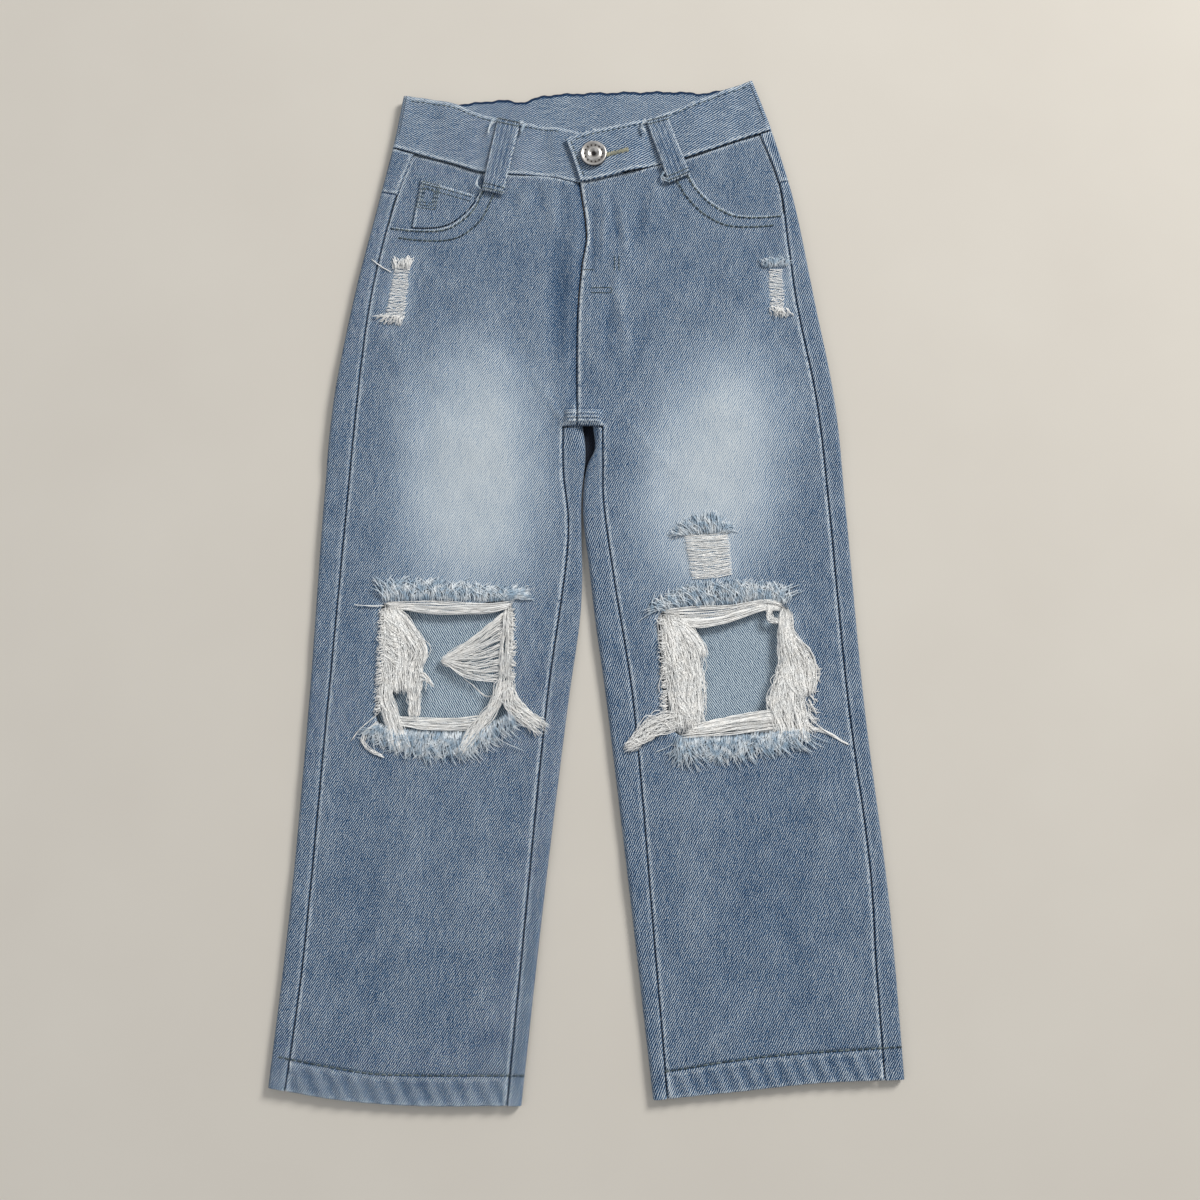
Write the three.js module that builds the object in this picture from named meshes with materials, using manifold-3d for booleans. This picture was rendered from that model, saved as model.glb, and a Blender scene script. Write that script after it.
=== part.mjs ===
// A child's ripped jeans, laid flat on their back with the front up.
// Millimetres. +Z is up, +Y runs to the waist, +X runs to the wearer's left. The underside rests on z = 0.
import * as THREE from "three";
import { mergeVertices } from "three/addons/utils/BufferGeometryUtils.js";
import Module from "manifold-3d";

const wasm = await Module();
wasm.setup();

// ---------------------------------------------------------------- driving dimensions
const DENIM = 1.1; // one layer of denim
const TURNED = 2; // two layers, where a hem is turned in
const BAND = 2.2; // the folded waistband strip
const LOOP = 1.5; // a folded belt loop
const SEAM_GAP = 0.3; // between pieces that are sewn edge to edge or lie on each other
const HALF_GAP = SEAM_GAP / 2;
const GRID_X = 10; // grid of the flat layers, finer across the folds
const GRID_Y = 22;

const LEG_TOP = 5; // height of the front over a leg
const SEAT_BASE = DENIM + SEAM_GAP; // the seat lies on the back pockets and loops
const SEAT_TOP = 6.1; // height of the front over the seat
const FLY_RAISE = 0.7; // the front rises over the zip
const BAND_TOP = SEAT_BASE + 2 * BAND + 0.8; // waistband front over waistband back
const OVERLAP_RAISE = BAND + SEAM_GAP; // the buttoned end lies on the end beneath it

const CROTCH_Y = 81; // lower end of the front rise
const CROTCH_BULGE = 2.2; // where the seams cross, the cloth stands up
const HEM_DEPTH = 15;
const FOLD_STEPS = 4; // facets round a rolled edge

const CUT_DEPTH = 40; // patterns cut straight through every layer

const BUTTON = { x: 3.5, y: 256, radius: 8.5, cap: 2.6, shank: 3, hole: 3.6 };

// ---------------------------------------------------------------- lines of the cut
const lerp = THREE.MathUtils.lerp;
const ramp = THREE.MathUtils.smoothstep;

// A smooth line through points [at, value] in rising order of at, running on straight past its ends.
function line(points) {
  const slope = points.map((p, i) => {
    const a = points[Math.max(i - 1, 0)];
    const b = points[Math.min(i + 1, points.length - 1)];
    return (b[1] - a[1]) / (b[0] - a[0]);
  });
  return (at) => {
    const last = points.length - 1;
    if (at <= points[0][0]) return points[0][1] + slope[0] * (at - points[0][0]);
    if (at >= points[last][0]) return points[last][1] + slope[last] * (at - points[last][0]);
    const i = points.findIndex((p) => p[0] > at) - 1;
    const [x0, y0] = points[i];
    const [x1, y1] = points[i + 1];
    const t = (at - x0) / (x1 - x0);
    const h = x1 - x0;
    return (
      y0 * (1 + 2 * t) * (1 - t) ** 2 +
      y1 * t ** 2 * (3 - 2 * t) +
      slope[i] * h * t * (1 - t) ** 2 -
      slope[i + 1] * h * t ** 2 * (1 - t)
    );
  };
}

// Each half of the garment: [y, x] along the leg, [x, y] across it. side points out of the garment.
const RIGHT = {
  name: "right",
  side: -1,
  outerFold: line([[-299, -177], [-198, -168.5], [-84, -162.4], [36, -158], [99, -154], [163, -144],
    [229, -130], [264, -122.4], [300, -116.4]]),
  outSeam: line([[-299, -167], [-231, -160], [-84, -151], [100, -139.5], [162, -133.5], [207, -125],
    [235, -118], [262, -109]]),
  innerFold: line([[-308, -36], [-198, -24.4], [-84, -10.8], [-39, -4.6], [-12, -3], [16, -4.6], [39, -4.6],
    [64, -1.2], [82, -2.8]]),
  inSeam: line([[-308, -44], [-231, -37], [-84, -23.4], [-3, -12.7], [25, -11.5], [53, -14.5], [82, -14.8]]),
  hem: line([[-177, -299.3], [-136, -306], [-94, -308.9], [-36, -308.9]]),
  pocketOpening: [[-62, 247], [-67.3, 234.6], [-71.5, 224.6], [-77, 217.9], [-86.2, 211], [-96.1, 208.7],
    [-110, 208.8], [-124.2, 210.3]],
};
const LEFT = {
  name: "left",
  side: 1,
  outerFold: line([[-295, 177], [-197, 172], [-84, 161.6], [36, 154.4], [99, 149.7], [163, 139.3],
    [229, 128], [276, 115.2], [309, 104]]),
  outSeam: line([[-295, 165.7], [-231, 163], [-179, 161.5], [-84, 152], [86, 140], [161, 128], [198, 124],
    [240, 119.2], [272, 108.7]]),
  innerFold: line([[-306, 37], [-198, 24.8], [-84, 11.2], [-39, 5], [-3, 1.4], [25, -2.4], [44, -2],
    [58, 0.4], [68, 4.4], [82, 3.2]]),
  inSeam: line([[-306, 45], [-231, 39], [-84, 26.7], [-12, 15.8], [35, 9.6], [59, 9.2], [82, 9]]),
  hem: line([[36, -306], [80, -301.8], [130, -296.8], [177, -295]]),
  pocketOpening: [[56, 256], [63.1, 246.7], [68.3, 237.3], [78.2, 226.6], [92, 218.9], [108, 217.6],
    [121.8, 218.6]],
};

const flyEdge = line([[81, -6.4], [150, -6.2], [184, -3.6], [204, -0.8], [238, -5]]); // front centre
const backCentre = line([[81, -0.2], [210, -4.5], [266, -6]]);
const waistFront = line([[-122, 262.4], [-86, 252.2], [-66, 246.2], [-22, 242.4], [-5, 238.8], [17, 243.3],
  [64, 256.8], [95, 268], [115, 274.4]]);
const waistBack = line([[-122, 262.4], [-6, 266.5], [115, 274.4]]);
const bandTopFront = line([[-116.4, 298], [-84, 292.2], [-68, 285.6], [-43, 280], [-14, 275.6], [0, 272.5],
  [36, 281.3], [50, 286.8], [74, 297], [104, 308.6]]);
const bandTopBack = line([[-116.4, 298], [-82, 294.2], [-56, 296.7], [-41, 295.6], [-26, 300.2], [50, 302.6],
  [76, 301.8], [104, 308.9]]);
const YOKE_POINT = { x: -4.5, y: 208, rightSlope: 0.2, leftSlope: 0.25 }; // deepest at the centre back
function yokeSeam(x) {
  const out = x - YOKE_POINT.x;
  return YOKE_POINT.y + (out < 0 ? -out * YOKE_POINT.rightSlope : out * YOKE_POINT.leftSlope);
}

// ---------------------------------------------------------------- heights of the layers
const bump = (distance, reach) => 1 - ramp(Math.abs(distance), 0, reach);

// Underside of the bottom layer: flat under the legs, raised over what is sewn on the seat.
const baseAt = (y) => SEAT_BASE * ramp(y, 45, 75);

// Largest folds of the front: [x at its middle, y at its middle, half width, half length, lean, height].
const FOLDS = [
  [-17, 165, 11, 75, 0, -0.8], // trough beside the fly
  [-62, 110, 26, 95, -0.1, 0.5],
  [86, 100, 24, 90, 0.12, 0.5],
  [22, 150, 7, 60, -0.12, 0.5], // pucker along the fly
  [-62, -190, 22, 90, -0.08, 0.5],
  [-128, -205, 20, 80, -0.05, -0.5],
  [95, -190, 24, 90, 0.08, -0.5],
  [138, -150, 14, 80, 0.1, 0.4],
  [78, -268, 9, 34, 0.9, 0.7], // slanting puckers of the left hem
  [112, -262, 9, 34, 0.9, -0.6],
];

// Top of the front layer.
function topAt(x, y) {
  const seat = (SEAT_TOP - LEG_TOP) * ramp(y, 45, 75);
  const fly = FLY_RAISE * bump(x - 5, 26) ** 0.5 * ramp(y, 84, 110);
  const crotch = CROTCH_BULGE * bump(x + 2, 22) * bump(y - CROTCH_Y - 4, 22);
  const folds = FOLDS.reduce((sum, [fx, fy, wide, long, lean, height]) => {
    const across = x - fx - lean * (y - fy);
    return sum + height * bump(across, wide) * bump(y - fy, long);
  }, 0);
  return LEG_TOP + seat + fly + crotch + folds;
}
const facingTopAt = (x, y) => topAt(x, y) - DENIM - SEAM_GAP;
const bandTopAt = () => BAND_TOP;
const overlapTopAt = (x) => BAND_TOP + OVERLAP_RAISE * (1 - ramp(x, 24, 46));

// ---------------------------------------------------------------- solids
function toSolid(geometry) {
  geometry.deleteAttribute("normal");
  geometry.deleteAttribute("uv");
  const merged = mergeVertices(geometry, 1e-4);
  return new wasm.Manifold(
    new wasm.Mesh({
      numProp: 3,
      vertProperties: merged.attributes.position.array,
      triVerts: new Uint32Array(merged.index.array),
    }),
  );
}

function toGeometry(solid) {
  const mesh = solid.getMesh();
  return new THREE.BufferGeometry()
    .setAttribute("position", new THREE.BufferAttribute(mesh.vertProperties, 3))
    .setIndex(new THREE.BufferAttribute(mesh.triVerts, 1));
}

// A closed wall between two grids of points, outer and inner, with the same rows and columns.
function wall(outer, inner) {
  const rows = outer.length;
  const columns = outer[0].length;
  const index = [];
  const at = (layer, r, c) => (layer * rows + r) * columns + c;
  const quad = (a, b, c, d) => index.push(a, b, c, a, c, d);
  for (let r = 0; r < rows - 1; r++)
    for (let c = 0; c < columns - 1; c++) {
      quad(at(0, r, c), at(0, r, c + 1), at(0, r + 1, c + 1), at(0, r + 1, c));
      quad(at(1, r, c), at(1, r + 1, c), at(1, r + 1, c + 1), at(1, r, c + 1));
    }
  for (let c = 0; c < columns - 1; c++) {
    quad(at(0, 0, c), at(1, 0, c), at(1, 0, c + 1), at(0, 0, c + 1));
    quad(at(0, rows - 1, c), at(0, rows - 1, c + 1), at(1, rows - 1, c + 1), at(1, rows - 1, c));
  }
  for (let r = 0; r < rows - 1; r++) {
    quad(at(0, r, 0), at(0, r + 1, 0), at(1, r + 1, 0), at(1, r, 0));
    quad(at(0, r, columns - 1), at(1, r, columns - 1), at(1, r + 1, columns - 1), at(0, r + 1, columns - 1));
  }
  const points = [...outer.flat(), ...inner.flat()];
  return new THREE.BufferGeometry().setFromPoints(points).setIndex(index);
}

// Numbers from one value to another in even steps of about the pitch.
const steps = (from, to, pitch) => {
  const count = Math.max(1, Math.ceil(Math.abs(to - from) / pitch));
  return Array.from({ length: count + 1 }, (_, i) => lerp(from, to, i / count));
};
// Grid lines that every layer shares, so that layers over each other keep their distance.
const gridLines = (low, high, pitch) =>
  steps(Math.floor((low - 1) / pitch) * pitch, Math.ceil((high + 1) / pitch) * pitch, pitch);

// A straight-sided cutter with the pattern's outline, a closed list of [x, y].
function cutter(pattern) {
  const shape = new THREE.Shape(pattern.map(([x, y]) => new THREE.Vector2(x, y)));
  const prism = new THREE.ExtrudeGeometry(shape, { depth: CUT_DEPTH, bevelEnabled: false });
  return toSolid(prism.translate(0, 0, -CUT_DEPTH / 4));
}

// A flat piece of cloth: a layer whose top follows top(x, y) and whose underside lies thickness(x, y)
// below it, cut to the pattern.
function cutPiece(pattern, top, thickness) {
  const box = new THREE.Box2().setFromPoints(pattern.map(([x, y]) => new THREE.Vector2(x, y)));
  const xs = gridLines(box.min.x, box.max.x, GRID_X);
  const ys = gridLines(box.min.y, box.max.y, GRID_Y);
  const upper = ys.map((y) => xs.map((x) => new THREE.Vector3(x, y, top(x, y))));
  const lower = ys.map((y) => xs.map((x) => new THREE.Vector3(x, y, top(x, y) - thickness(x, y))));
  return toSolid(wall(upper, lower)).intersect(cutter(pattern));
}

// A rolled piece of cloth, from rows of points on its outside.
// Each inner point lies one thickness in, square to the surface.
function rollPiece(outer, thickness) {
  const inner = outer.map((row, r) =>
    row.map((point, c) => {
      const before = row[Math.max(c - 1, 0)];
      const after = row[Math.min(c + 1, row.length - 1)];
      const below = outer[Math.max(r - 1, 0)][c];
      const above = outer[Math.min(r + 1, outer.length - 1)][c];
      const across = after.clone().sub(before);
      const along = above.clone().sub(below);
      const out = across.cross(along).normalize();
      return point.clone().addScaledVector(out, -thickness(point));
    }),
  );
  return toSolid(wall(outer, inner));
}

// Section of a rolled edge from seamX on the top, out round foldX and in under the garment to endX.
// Each point is [x, z, face]: face runs from 0 on the top to 1 underneath.
function outerRoll({ side, seamX, foldX, endX, y, top, topSteps, underSteps }) {
  const base = baseAt(y);
  const radius = (top(foldX, y) - base) / 2;
  const turnX = foldX - side * radius;
  const points = [];
  for (let k = 0; k < topSteps; k++) {
    const x = lerp(seamX, turnX, k / topSteps);
    points.push([x, top(x, y), 0]);
  }
  for (let k = 0; k <= FOLD_STEPS; k++) {
    const turn = (Math.PI * k) / FOLD_STEPS;
    const x = turnX + side * radius * Math.sin(turn);
    points.push([x, base + radius * (1 + Math.cos(turn)), k / FOLD_STEPS]);
  }
  for (let k = 1; k <= underSteps; k++) points.push([lerp(turnX, endX, k / underSteps), base, 1]);
  return points;
}

// Rows run from the bottom of the garment up. Those of the wearer's right run the other way round, so
// that the outside of the cloth faces out on both halves.
const facingOut = (side, rows) => (side < 0 ? rows.map((row) => row.slice().reverse()) : rows);

// ---------------------------------------------------------------- materials
const cloth = (name, color) => new THREE.MeshStandardMaterial({ name, color, roughness: 0.9 });
const denim = cloth("denim", 0x697e96);
const thread = cloth("loose_thread", 0xc4c6c4);
const metal = new THREE.MeshStandardMaterial({
  name: "button_metal",
  color: 0xa9a59c,
  roughness: 0.35,
  metalness: 1,
});

const jeans = new THREE.Group();
jeans.name = "ripped_jeans";
function add(name, solid, material) {
  const mesh = new THREE.Mesh(toGeometry(solid), material);
  mesh.name = name;
  jeans.add(mesh);
}

// ---------------------------------------------------------------- patterns
const alongLine = (edge, from, to, pitch = 16) => steps(from, to, pitch).map((y) => [edge(y), y]);
const acrossLine = (edge, from, to, pitch = 12) => steps(from, to, pitch).map((x) => [x, edge(x)]);
const smooth = (points, count) =>
  new THREE.SplineCurve(points.map(([x, y]) => new THREE.Vector2(x, y)))
    .getPoints(count)
    .map((p) => [p.x, p.y]);
const smoothLoop = (points, count) =>
  new THREE.CatmullRomCurve3(points.map(([x, y]) => new THREE.Vector3(x, y, 0)), true)
    .getPoints(count)
    .slice(0, -1)
    .map((p) => [p.x, p.y]);
const shifted = (points, dx, dy) => points.map(([x, y]) => [x + dx, y + dy]);
// Where a line [x, y] over y crosses a line over x.
const crossing = (edge, level, y) => {
  for (let i = 0; i < 5; i++) y = level(edge(y));
  return y;
};

const oneLayer = () => DENIM;
const bandLayers = () => BAND;
const loopLayers = () => LOOP;

// ---------------------------------------------------------------- sections of the legs
// Sections of each half, bottom to top, as { y, turn, wrap }. Below the crotch the back's inner edge
// turns half round and wraps over to the inseam. Through the crotch it uncurls until both halves lie
// flat, seam to seam.
const HEM_LEVEL = -300;
const YOKE_LEVEL = 220;
const LEG_LEVELS = [
  HEM_LEVEL, -286, -284.5, -262, -231, -198, -160, -122, -84, -50, -20, 5, 28, 46, 60, 69, 75,
];
const SECTIONS = [
  ...LEG_LEVELS.map((y) => ({ y, turn: Math.PI })),
  { y: 79.5, turn: 0.75 * Math.PI, wrap: 1.2 },
  { y: 83.5, turn: 0.5 * Math.PI, wrap: 1 },
  { y: 88, turn: 0.25 * Math.PI, wrap: 1 },
  ...[92, 120, 148, 172, 190, 205, YOKE_LEVEL].map((y) => ({ y, turn: 0, wrap: 1 })),
];

// Where a section's point at x lies along the garment: the end sections slant with the hem and yoke seam.
function sectionY({ hem }, level, x) {
  const hemShare = 1 - ramp(level, HEM_LEVEL, HEM_LEVEL + 60);
  const yokeShare = ramp(level, 120, YOKE_LEVEL);
  return level + (hem(x) - HEM_LEVEL) * hemShare + (yokeSeam(x) - HALF_GAP - YOKE_LEVEL) * yokeShare;
}
// The point [x, y] where a section meets a line along the leg.
function onLine(half, edge, level) {
  const y = crossing(edge, (x) => sectionY(half, level, x), level);
  return [edge(y), y];
}

// ---------------------------------------------------------------- front leg panels
// Cut from hem to waist with a curved pocket opening. Each knee is torn open.
const TORN_KNEE = {
  right: [[-120, -27], [-84, -32], [-47, -26], [-45.5, -60], [-46.5, -92], [-58, -104], [-100, -102],
    [-122, -96], [-119, -60]],
  left: [[44, -32], [74, -37], [112, -28], [121, -40], [123.5, -72], [122, -100], [86, -104], [50, -102],
    [43, -62]],
};

function frontPattern(half) {
  const { side, hem, outSeam, inSeam, pocketOpening } = half;
  const inward = -side * HALF_GAP;
  const [mouthX] = pocketOpening[0];
  const sideEnd = pocketOpening.at(-1)[1];
  const waist = (x) => waistFront(x) - HALF_GAP;
  const fly = (y) => flyEdge(y) - inward;
  const levels = SECTIONS.map(({ y }) => y);
  const outEdge = levels.map((level) => onLine(half, outSeam, level)).filter(([, y]) => y < sideEnd - 3);
  const inEdge = LEG_LEVELS.map((level) => onLine(half, inSeam, level)).reverse();
  return [
    ...acrossLine(hem, inEdge.at(-1)[0] - inward, outEdge[0][0] + inward).slice(0, -1),
    ...shifted(outEdge, inward, 0),
    ...shifted(smooth(pocketOpening, 12).reverse().slice(0, -1), inward, 0),
    ...acrossLine(waist, mouthX, fly(238)),
    ...alongLine(fly, 228, CROTCH_Y),
    [inSeam(CROTCH_Y) - inward, CROTCH_Y],
    ...shifted(inEdge.slice(0, -1), -inward, 0),
  ];
}
const frontThickness = (x, y) => {
  const { hem } = x < 0 ? RIGHT : LEFT;
  return lerp(TURNED, DENIM, ramp(y, hem(x) + HEM_DEPTH - 1, hem(x) + HEM_DEPTH + 1));
};
for (const half of [RIGHT, LEFT]) {
  const torn = cutter(smoothLoop(TORN_KNEE[half.name], 36));
  add(`front_${half.name}`, cutPiece(frontPattern(half), topAt, frontThickness).subtract(torn), denim);
}

// ---------------------------------------------------------------- back leg panels
// Each lies under its leg and rolls round both edges of it, as far as the seams on the top face.
const UNDER_STEPS = 3;
const FLAT_STEP = 0.6; // spacing of the inner roll's points once it lies flat

function backRows(half) {
  const { side, outSeam, outerFold, innerFold, inSeam } = half;
  return SECTIONS.map(({ y: level, turn, wrap }) => {
    const xOn = (edge) => onLine(half, edge, level)[0];
    const base = baseAt(level);
    const foldX = xOn(innerFold);
    const radius = ((wrap ? SEAT_TOP : topAt(foldX, level)) - base) / 2;
    const flatX = xOn(backCentre) + side * (HALF_GAP + FOLD_STEPS * FLAT_STEP + wrap);
    const rollX = turn > 0 ? foldX + side * radius : flatX;
    const section = outerRoll({
      side,
      seamX: xOn(outSeam) + side * HALF_GAP,
      foldX: xOn(outerFold),
      endX: rollX,
      y: level,
      top: topAt,
      topSteps: 2,
      underSteps: UNDER_STEPS,
    });
    let tip;
    for (let k = 1; k <= FOLD_STEPS; k++) {
      const angle = (turn * k) / FOLD_STEPS;
      const curl = turn > 0 ? radius * Math.sin(angle) : FLAT_STEP * k;
      tip = [rollX - side * curl, base + radius * (1 - Math.cos(angle))];
      section.push(tip);
    }
    const seamX = xOn(inSeam) - side * HALF_GAP;
    for (const share of [0.5, 1]) {
      const reach = wrap * share;
      const x = wrap ? tip[0] - side * reach * Math.cos(turn) : lerp(tip[0], seamX, share);
      const z = wrap ? tip[1] + reach * Math.sin(turn) : topAt(x, sectionY(half, level, x));
      section.push([x, z]);
    }
    return section.map(([x, z]) => new THREE.Vector3(x, sectionY(half, level, x), z));
  });
}
for (const half of [RIGHT, LEFT]) {
  const thickness = ({ x, y }) => (y < half.hem(x) + HEM_DEPTH - 0.2 ? TURNED : DENIM);
  add(`back_${half.name}`, rollPiece(facingOut(half.side, backRows(half)), thickness), denim);
}

// ---------------------------------------------------------------- yokes and waistband
// Rows of a piece that rolls round the hip, between a lower and an upper line on each face.
function hipRows({ side, outerFold, rowShares, low, high, seamAt, endAt, top, topSteps, underSteps }) {
  return rowShares.map((share) => {
    const yAt = (x, face) => lerp(low(x, face), high(x, face), share);
    const foldY = crossing(outerFold, (x) => yAt(x, 0.5), 262);
    const section = outerRoll({
      side,
      seamX: seamAt(foldY, share),
      foldX: outerFold(foldY),
      endX: endAt(foldY, share),
      y: foldY,
      top,
      topSteps,
      underSteps,
    });
    return section.map(([x, z, face]) => new THREE.Vector3(x, yAt(x, face), z));
  });
}
const waistAt = (x, face) => lerp(waistFront(x), waistBack(x), face);
const bandTopAtFace = (x, face) => lerp(bandTopFront(x), bandTopBack(x), face);
const overlapTop = line([[-14.4, 267.3], [0, 272.5], [36, 281.3], [50, 286.8], [74, 297], [104, 308.6]]);
const overlapTopAtFace = (x, face) => lerp(overlapTop(x), bandTopBack(x), face);

for (const { name, side, outerFold, outSeam } of [RIGHT, LEFT]) {
  const rows = hipRows({
    side,
    outerFold,
    rowShares: [0, 0.33, 0.67, 1],
    low: (x) => yokeSeam(x) + HALF_GAP,
    high: (x, face) => waistAt(x, face) - HALF_GAP,
    seamAt: (y) => outSeam(y) + side * HALF_GAP,
    endAt: (y, share) => backCentre(lerp(208, 266, share)) + side * HALF_GAP,
    top: topAt,
    topSteps: 2,
    underSteps: 7,
  });
  add(`yoke_${name}`, rollPiece(facingOut(side, rows), oneLayer), denim);
}

const BAND_TURN = 12; // how far the front bands run in under the garment
const BAND_SHARES = [0, 0.5, 1];
function bandEndX({ side, outerFold }, share) {
  const low = outerFold(crossing(outerFold, waistBack, 265));
  const high = outerFold(crossing(outerFold, bandTopBack, 300));
  return lerp(low, high, share) - side * BAND_TURN;
}
const UNDERLAP_END = 22;
const OVERLAP_END = { bottomX: -4.9, topX: -14.4 };
const bandRows = (half, seamAt, high, top) =>
  facingOut(half.side, hipRows({
    side: half.side,
    outerFold: half.outerFold,
    rowShares: BAND_SHARES,
    low: (x, face) => waistAt(x, face) + HALF_GAP,
    high,
    seamAt,
    endAt: (y, share) => bandEndX(half, share),
    top,
    topSteps: 12,
    underSteps: 1,
  }));
const underlap = rollPiece(bandRows(RIGHT, () => UNDERLAP_END, bandTopAtFace, bandTopAt), bandLayers);
const overlapEnd = (y, share) => lerp(OVERLAP_END.bottomX, OVERLAP_END.topX, share);
const overlap = rollPiece(bandRows(LEFT, overlapEnd, overlapTopAtFace, overlapTopAt), bandLayers);

// A round eye for the shank, and a slit that narrows away from it.
const circle = (from, to, count) =>
  steps(from, to, (to - from) / count).map((turn) => [
    BUTTON.x + BUTTON.hole * Math.cos(turn),
    BUTTON.y + BUTTON.hole * Math.sin(turn),
  ]);
const rivetHole = circle(0, 2 * Math.PI, 16).slice(0, -1);
const SLIT = { length: 20, rise: 3.4, width: 0.6 };
const slitEnd = [BUTTON.x + SLIT.length, BUTTON.y + SLIT.rise];
const slit = [slitEnd, [slitEnd[0], slitEnd[1] + SLIT.width]];
const buttonhole = [...circle(0.2 * Math.PI, 1.8 * Math.PI, 14), ...slit];
add("waistband_front_right", underlap.subtract(cutter(rivetHole)), denim);
add("waistband_front_left", overlap.subtract(cutter(buttonhole)), denim);

const backLow = (x) => waistBack(x) + HALF_GAP;
const backBandEnd = (half) =>
  BAND_SHARES.map((share) => {
    const x = bandEndX(half, share) - half.side * SEAM_GAP;
    return [x, lerp(backLow(x), bandTopBack(x), share)];
  });
const rightEnd = backBandEnd(RIGHT);
const leftEnd = backBandEnd(LEFT);
const backBand = [
  ...acrossLine(backLow, rightEnd[0][0], leftEnd[0][0], 16),
  leftEnd[1],
  ...acrossLine(bandTopBack, leftEnd[2][0], rightEnd[2][0], 10),
  rightEnd[1],
];
add("waistband_back", cutPiece(backBand, () => SEAT_BASE + BAND, bandLayers), denim);

// ---------------------------------------------------------------- pockets
// A facing shows inside each curved opening and runs on a little way under the front.
const FACING_MARGIN = 12;
for (const { name, side, outSeam, pocketOpening } of [RIGHT, LEFT]) {
  const edge = (y) => outSeam(y) - side * HALF_GAP;
  const hidden = shifted(smooth(pocketOpening, 10), -side * FACING_MARGIN, -FACING_MARGIN);
  const foot = hidden.at(-1)[1];
  const waist = (x) => waistFront(x) - HALF_GAP;
  const head = crossing(edge, waist, 262);
  const pattern = [
    ...alongLine(edge, foot, head),
    ...acrossLine(waist, edge(head) - side * 4, hidden[0][0]),
    ...hidden.slice(1, -1),
  ];
  add(`pocket_facing_${name}`, cutPiece(pattern, facingTopAt, oneLayer), denim);
}

// The coin pocket lies on the right facing and stops just short of the opening's edge.
const COIN_GAP = 0.6;
const COIN = { topOuter: [-104.3, 241.3], topInner: [-70.6, 231.6], foot: [-109.2, 209.6] };
const coinPocket = [
  COIN.topOuter,
  COIN.topInner,
  ...shifted(smooth(RIGHT.pocketOpening, 12), -COIN_GAP, COIN_GAP).filter(
    ([x, y]) => y < COIN.topInner[1] - 2 && x > COIN.foot[0] + 2,
  ),
  COIN.foot,
];
add("coin_pocket", cutPiece(coinPocket, topAt, oneLayer), denim);

// Plain patch pockets under the seat.
const BACK_POCKET = { middle: 73, width: 88, taper: 3, top: 196, depth: 74, point: 12 };
for (const { name, side } of [RIGHT, LEFT]) {
  const { middle, width, taper, top, depth, point } = BACK_POCKET;
  const x = side * middle;
  const pattern = [
    [x - width / 2, top],
    [x - width / 2 + taper, top - depth],
    [x, top - depth - point],
    [x + width / 2 - taper, top - depth],
    [x + width / 2, top],
  ];
  add(`back_pocket_${name}`, cutPiece(pattern, () => DENIM, oneLayer), denim);
}

// ---------------------------------------------------------------- fly, hidden under the left front
const SEAT_INSIDE = SEAT_BASE + DENIM + SEAM_GAP;
const ZIP = 0.8;
const flyUnderlap = [[-11, 100], [4, 96], [20, 106], [24, 122], [24, 236], [-4, 236], [-11, 236]];
const zip = [[-6, 122], [10, 122], [10, 234], [-6, 234]];
add("fly_underlap", cutPiece(flyUnderlap, () => SEAT_INSIDE + DENIM, oneLayer), denim);
add("zip", cutPiece(zip, () => SEAT_INSIDE + DENIM + SEAM_GAP + ZIP, () => ZIP), metal);

// ---------------------------------------------------------------- belt loops
// The front loops lean outwards at the top. Those on the back lie flat under the waistband.
const FRONT_LOOPS = {
  right: [[-56.6, 282.1], [-66.2, 233.2], [-52.6, 229.6], [-42.3, 279]],
  left: [[36.3, 279.5], [50.2, 237.8], [63.7, 244], [49.8, 283.7]],
};
for (const { name, side } of [RIGHT, LEFT]) {
  const under = side < 0 ? bandTopAt : overlapTopAt;
  const top = (x, y) => under(x, y) + SEAM_GAP + LOOP;
  add(`belt_loop_front_${name}`, cutPiece(FRONT_LOOPS[name], top, loopLayers), denim);
}
const BACK_LOOP = { width: 12, low: 254, high: 294 };
for (const [name, x] of [["right", -72], ["centre", -6], ["left", 60]]) {
  const { width, low, high } = BACK_LOOP;
  const pattern = [[x - width / 2, low], [x + width / 2, low], [x + width / 2, high], [x - width / 2, high]];
  add(`belt_loop_back_${name}`, cutPiece(pattern, () => DENIM, oneLayer), denim);
}

// ---------------------------------------------------------------- button
// A stamped cap with a rolled rim, on a shank that passes the eye and is riveted in the underlap.
const capBase = BAND_TOP + OVERLAP_RAISE + SEAM_GAP;
const shankBase = BAND_TOP - BAND + SEAM_GAP;
const capTop = capBase + BUTTON.cap;
const buttonProfile = [
  [0, shankBase],
  [BUTTON.shank, shankBase],
  [BUTTON.shank, capBase],
  [BUTTON.radius - 1, capBase],
  [BUTTON.radius, capBase + 0.9],
  [BUTTON.radius - 0.3, capTop - 0.7],
  [BUTTON.radius - 1.2, capTop - 0.2],
  [BUTTON.radius - 2.6, capTop - 0.5],
  [4.6, capTop - 0.7],
  [3.8, capTop],
  [3.1, capTop],
  [2.6, capTop - 0.8],
  [0, capTop - 0.9],
].map(([x, y]) => new THREE.Vector2(x, y));
const lathe = new THREE.LatheGeometry(buttonProfile, 24).rotateX(Math.PI / 2);
add("button", toSolid(lathe.translate(BUTTON.x, BUTTON.y, 0)), metal);

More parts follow.
